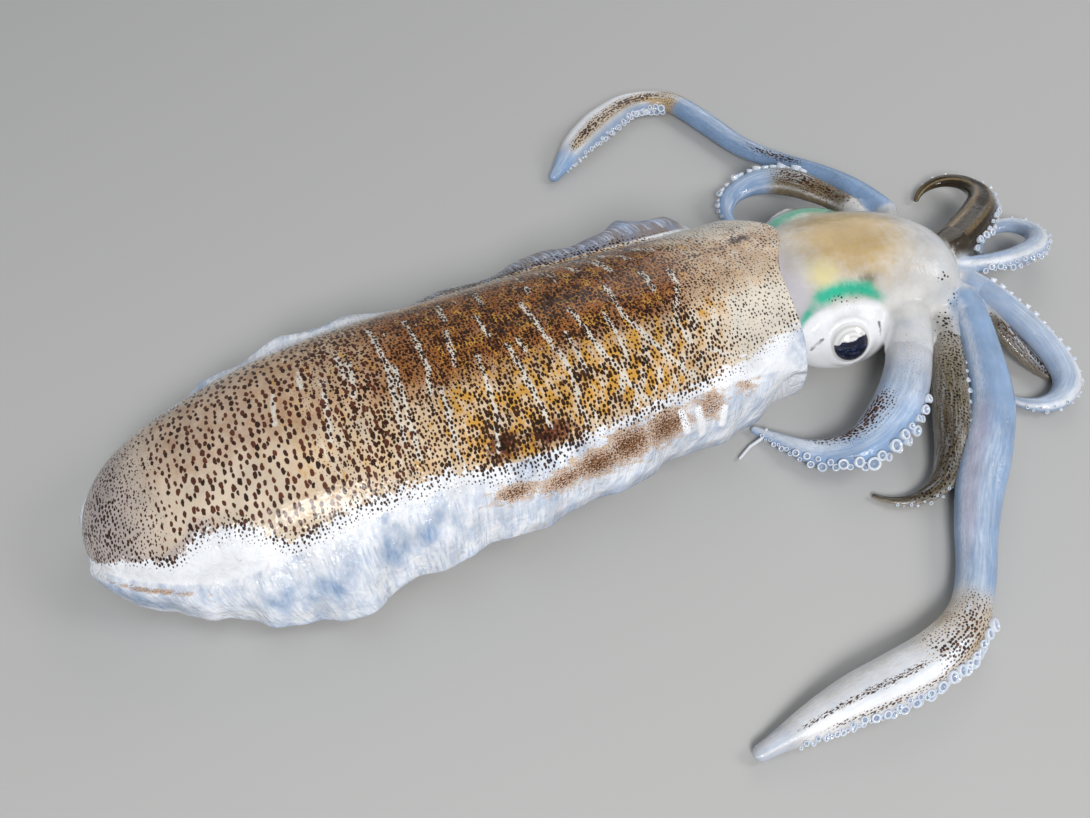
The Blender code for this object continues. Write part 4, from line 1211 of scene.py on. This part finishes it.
def eye_surface():
    """The wet eyeball: a hard gloss over a dark blue half-round pupil with painted gleams in it, and a pale,
    silvery iris.
    """
    material, tree, shader = blank_material("wet_eyeball")
    place = add(tree, "TexCoord", out="Object")
    across = add(tree, "Attribute", out="Fac", attribute_name="eye_across")
    up = add(tree, "Attribute", out="Fac", attribute_name="eye_up")
    wave = add(tree, "TexNoise", {"Vector": place, "Scale": 1.0 / (2.0 * MM), "Detail": 2.0})
    wave = add(tree, "Math", {0: wave, 1: -0.5}, operation="ADD")
    tilted = add(tree, "Math", {0: across, 1: -0.30, 2: up}, operation="MULTIPLY_ADD")
    tilted = add(tree, "Math", {0: wave, 1: 2.0, 2: tilted}, operation="MULTIPLY_ADD")
    below = add(tree, "MapRange", {"Value": tilted, "From Min": 1.75, "From Max": 1.5})
    flat = add(tree, "CombineXYZ", {"X": across, "Y": up})
    away = add(tree, "VectorMath", {0: flat}, out=1, operation="LENGTH")
    inside = add(tree, "MapRange", {"Value": away, "From Min": 4.75, "From Max": 4.5})
    pupil = add(tree, "Math", {0: below, 1: inside}, operation="MULTIPLY")
    rings = add(tree, "Math", {0: away, 1: 5.5}, operation="MULTIPLY")
    rings = add(tree, "Math", {0: rings}, operation="SINE")
    iris = add(tree, "MapRange", {"Value": rings, "From Min": -1.0, "From Max": 1.0, "To Max": 0.5})
    iris = add(tree, "Mix", {0: iris, 6: linear("#f1f1f2"), 7: linear("#b9b2a6")}, out=2, data_type="RGBA")
    # painted highlight: pale blue gleams painted into the dark pupil
    painted_gleam = add(tree, "TexNoise", {"Vector": place, "Scale": 1.0 / (1.2 * MM), "Detail": 3.0,
                                   "Distortion": 1.5})
    painted_gleam = add(tree, "MapRange", {"Value": painted_gleam, "From Min": 0.56, "From Max": 0.72, "To Max": 0.7})
    dark = add(tree, "Mix", {0: painted_gleam, 6: linear("#0c1228"), 7: linear("#53649a")}, out=2, data_type="RGBA")
    colour = add(tree, "Mix", {0: pupil, 6: iris, 7: dark}, out=2, data_type="RGBA")
    tree.links.new(colour, shader.inputs["Base Color"])
    finish(shader, {"Roughness": 0.15, "IOR": 1.38, "Coat Weight": 1.0, "Coat Roughness": 0.02})
    return material


def sucker_gristle():
    """Ring suckers: clear pale gristle with a bright hard rim, and a cup darkened with painted shade."""
    material, tree, shader = blank_material("sucker_gristle")
    place = add(tree, "TexCoord", out="Object")
    cup = add(tree, "Attribute", out="Fac", attribute_name="hollow")
    cloud = add(tree, "TexNoise", {"Vector": place, "Scale": 1.0 / (4.0 * MM), "Detail": 2.0})
    pale = add(tree, "Mix", {0: cloud, 6: linear("#f3f6f9"), 7: linear("#b9c6da")}, out=2, data_type="RGBA")
    # painted shade: the cup is coloured darker blue-grey for the shade inside it
    colour = add(tree, "Mix", {0: cup, 6: pale, 7: linear("#8f9db4")}, out=2, data_type="RGBA")
    tree.links.new(colour, shader.inputs["Base Color"])
    finish(shader, {"Roughness": 0.3, "IOR": 1.36, "Specular IOR Level": 0.25, "Subsurface Weight": 0.14,
                    "Subsurface Scale": 1.0 * MM, "Coat Weight": 1.0, "Coat Roughness": 0.05})
    return material


def dress(thing, material, slot, *nodes):
    """Give a piece its material and tie it to the part."""
    thing.data.materials.clear()
    thing.data.materials.append(material)
    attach(thing, "root")
    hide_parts(*nodes)


def matt_floor():
    """A plain matt floor, pale enough to show the squid's shadows and reflect nothing."""
    material, _, shader = blank_material("matt_floor")
    finish(shader, {"Base Color": linear("#bdbcba"), "Roughness": 0.8})
    return material


def place_towards(name, data, place, look):
    """Add a lamp or the camera, turned to look one way."""
    holder = bpy.data.objects.new(name, data)
    holder.location = place
    holder.rotation_euler = Vector(look).to_track_quat("-Z", "Y").to_euler()
    bpy.context.scene.collection.objects.link(holder)
    return holder


def make_studio():
    """A plain pale floor, soft lights and the camera."""
    bpy.ops.object.select_all(action="DESELECT")
    bpy.ops.mesh.primitive_plane_add(size=FLOOR_SIZE, location=(0.0, 0.0, FLOOR_HEIGHT))
    floor = bpy.context.object
    floor.name = "floor"
    floor.data.materials.append(matt_floor())

    world = bpy.data.worlds.new("studio_air")
    world.use_nodes = True
    world.node_tree.nodes["Background"].inputs["Color"].default_value = AIR_COLOUR
    world.node_tree.nodes["Background"].inputs["Strength"].default_value = AIR_STRENGTH
    bpy.context.scene.world = world
    bpy.context.scene.view_settings.view_transform = "Standard"
    for name, (place, target, size, power) in LAMPS.items():
        lamp = bpy.data.lights.new(name, "AREA")
        lamp.size = size
        lamp.energy = power
        place_towards(name, lamp, place, Vector(target) - Vector(place))

    camera = bpy.data.cameras.new("camera")
    camera.lens = CAMERA_LENS
    camera.clip_start = 0.01
    bpy.context.scene.camera = place_towards("camera", camera, CAMERA_PLACE, CAMERA_LOOK)


def main():
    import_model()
    make_studio()
    arm_material = limb_skin()
    dress(make_body(), body_skin(), "skin", "squid")
    dress(make_head(), head_skin(), "skin", "squid")
    for name in LIMBS:
        dress(make_limb(name), arm_material, "skin", "squid")
    dress(make_thread(), arm_material, "skin", "squid")
    dress(make_suckers(), sucker_gristle(), "skin", "squid")
    eye_material = eye_surface()
    for name in EYE_CENTRES:
        dress(make_eye(name), eye_material, "lens", name)
    bpy.context.view_layer.update()


main()
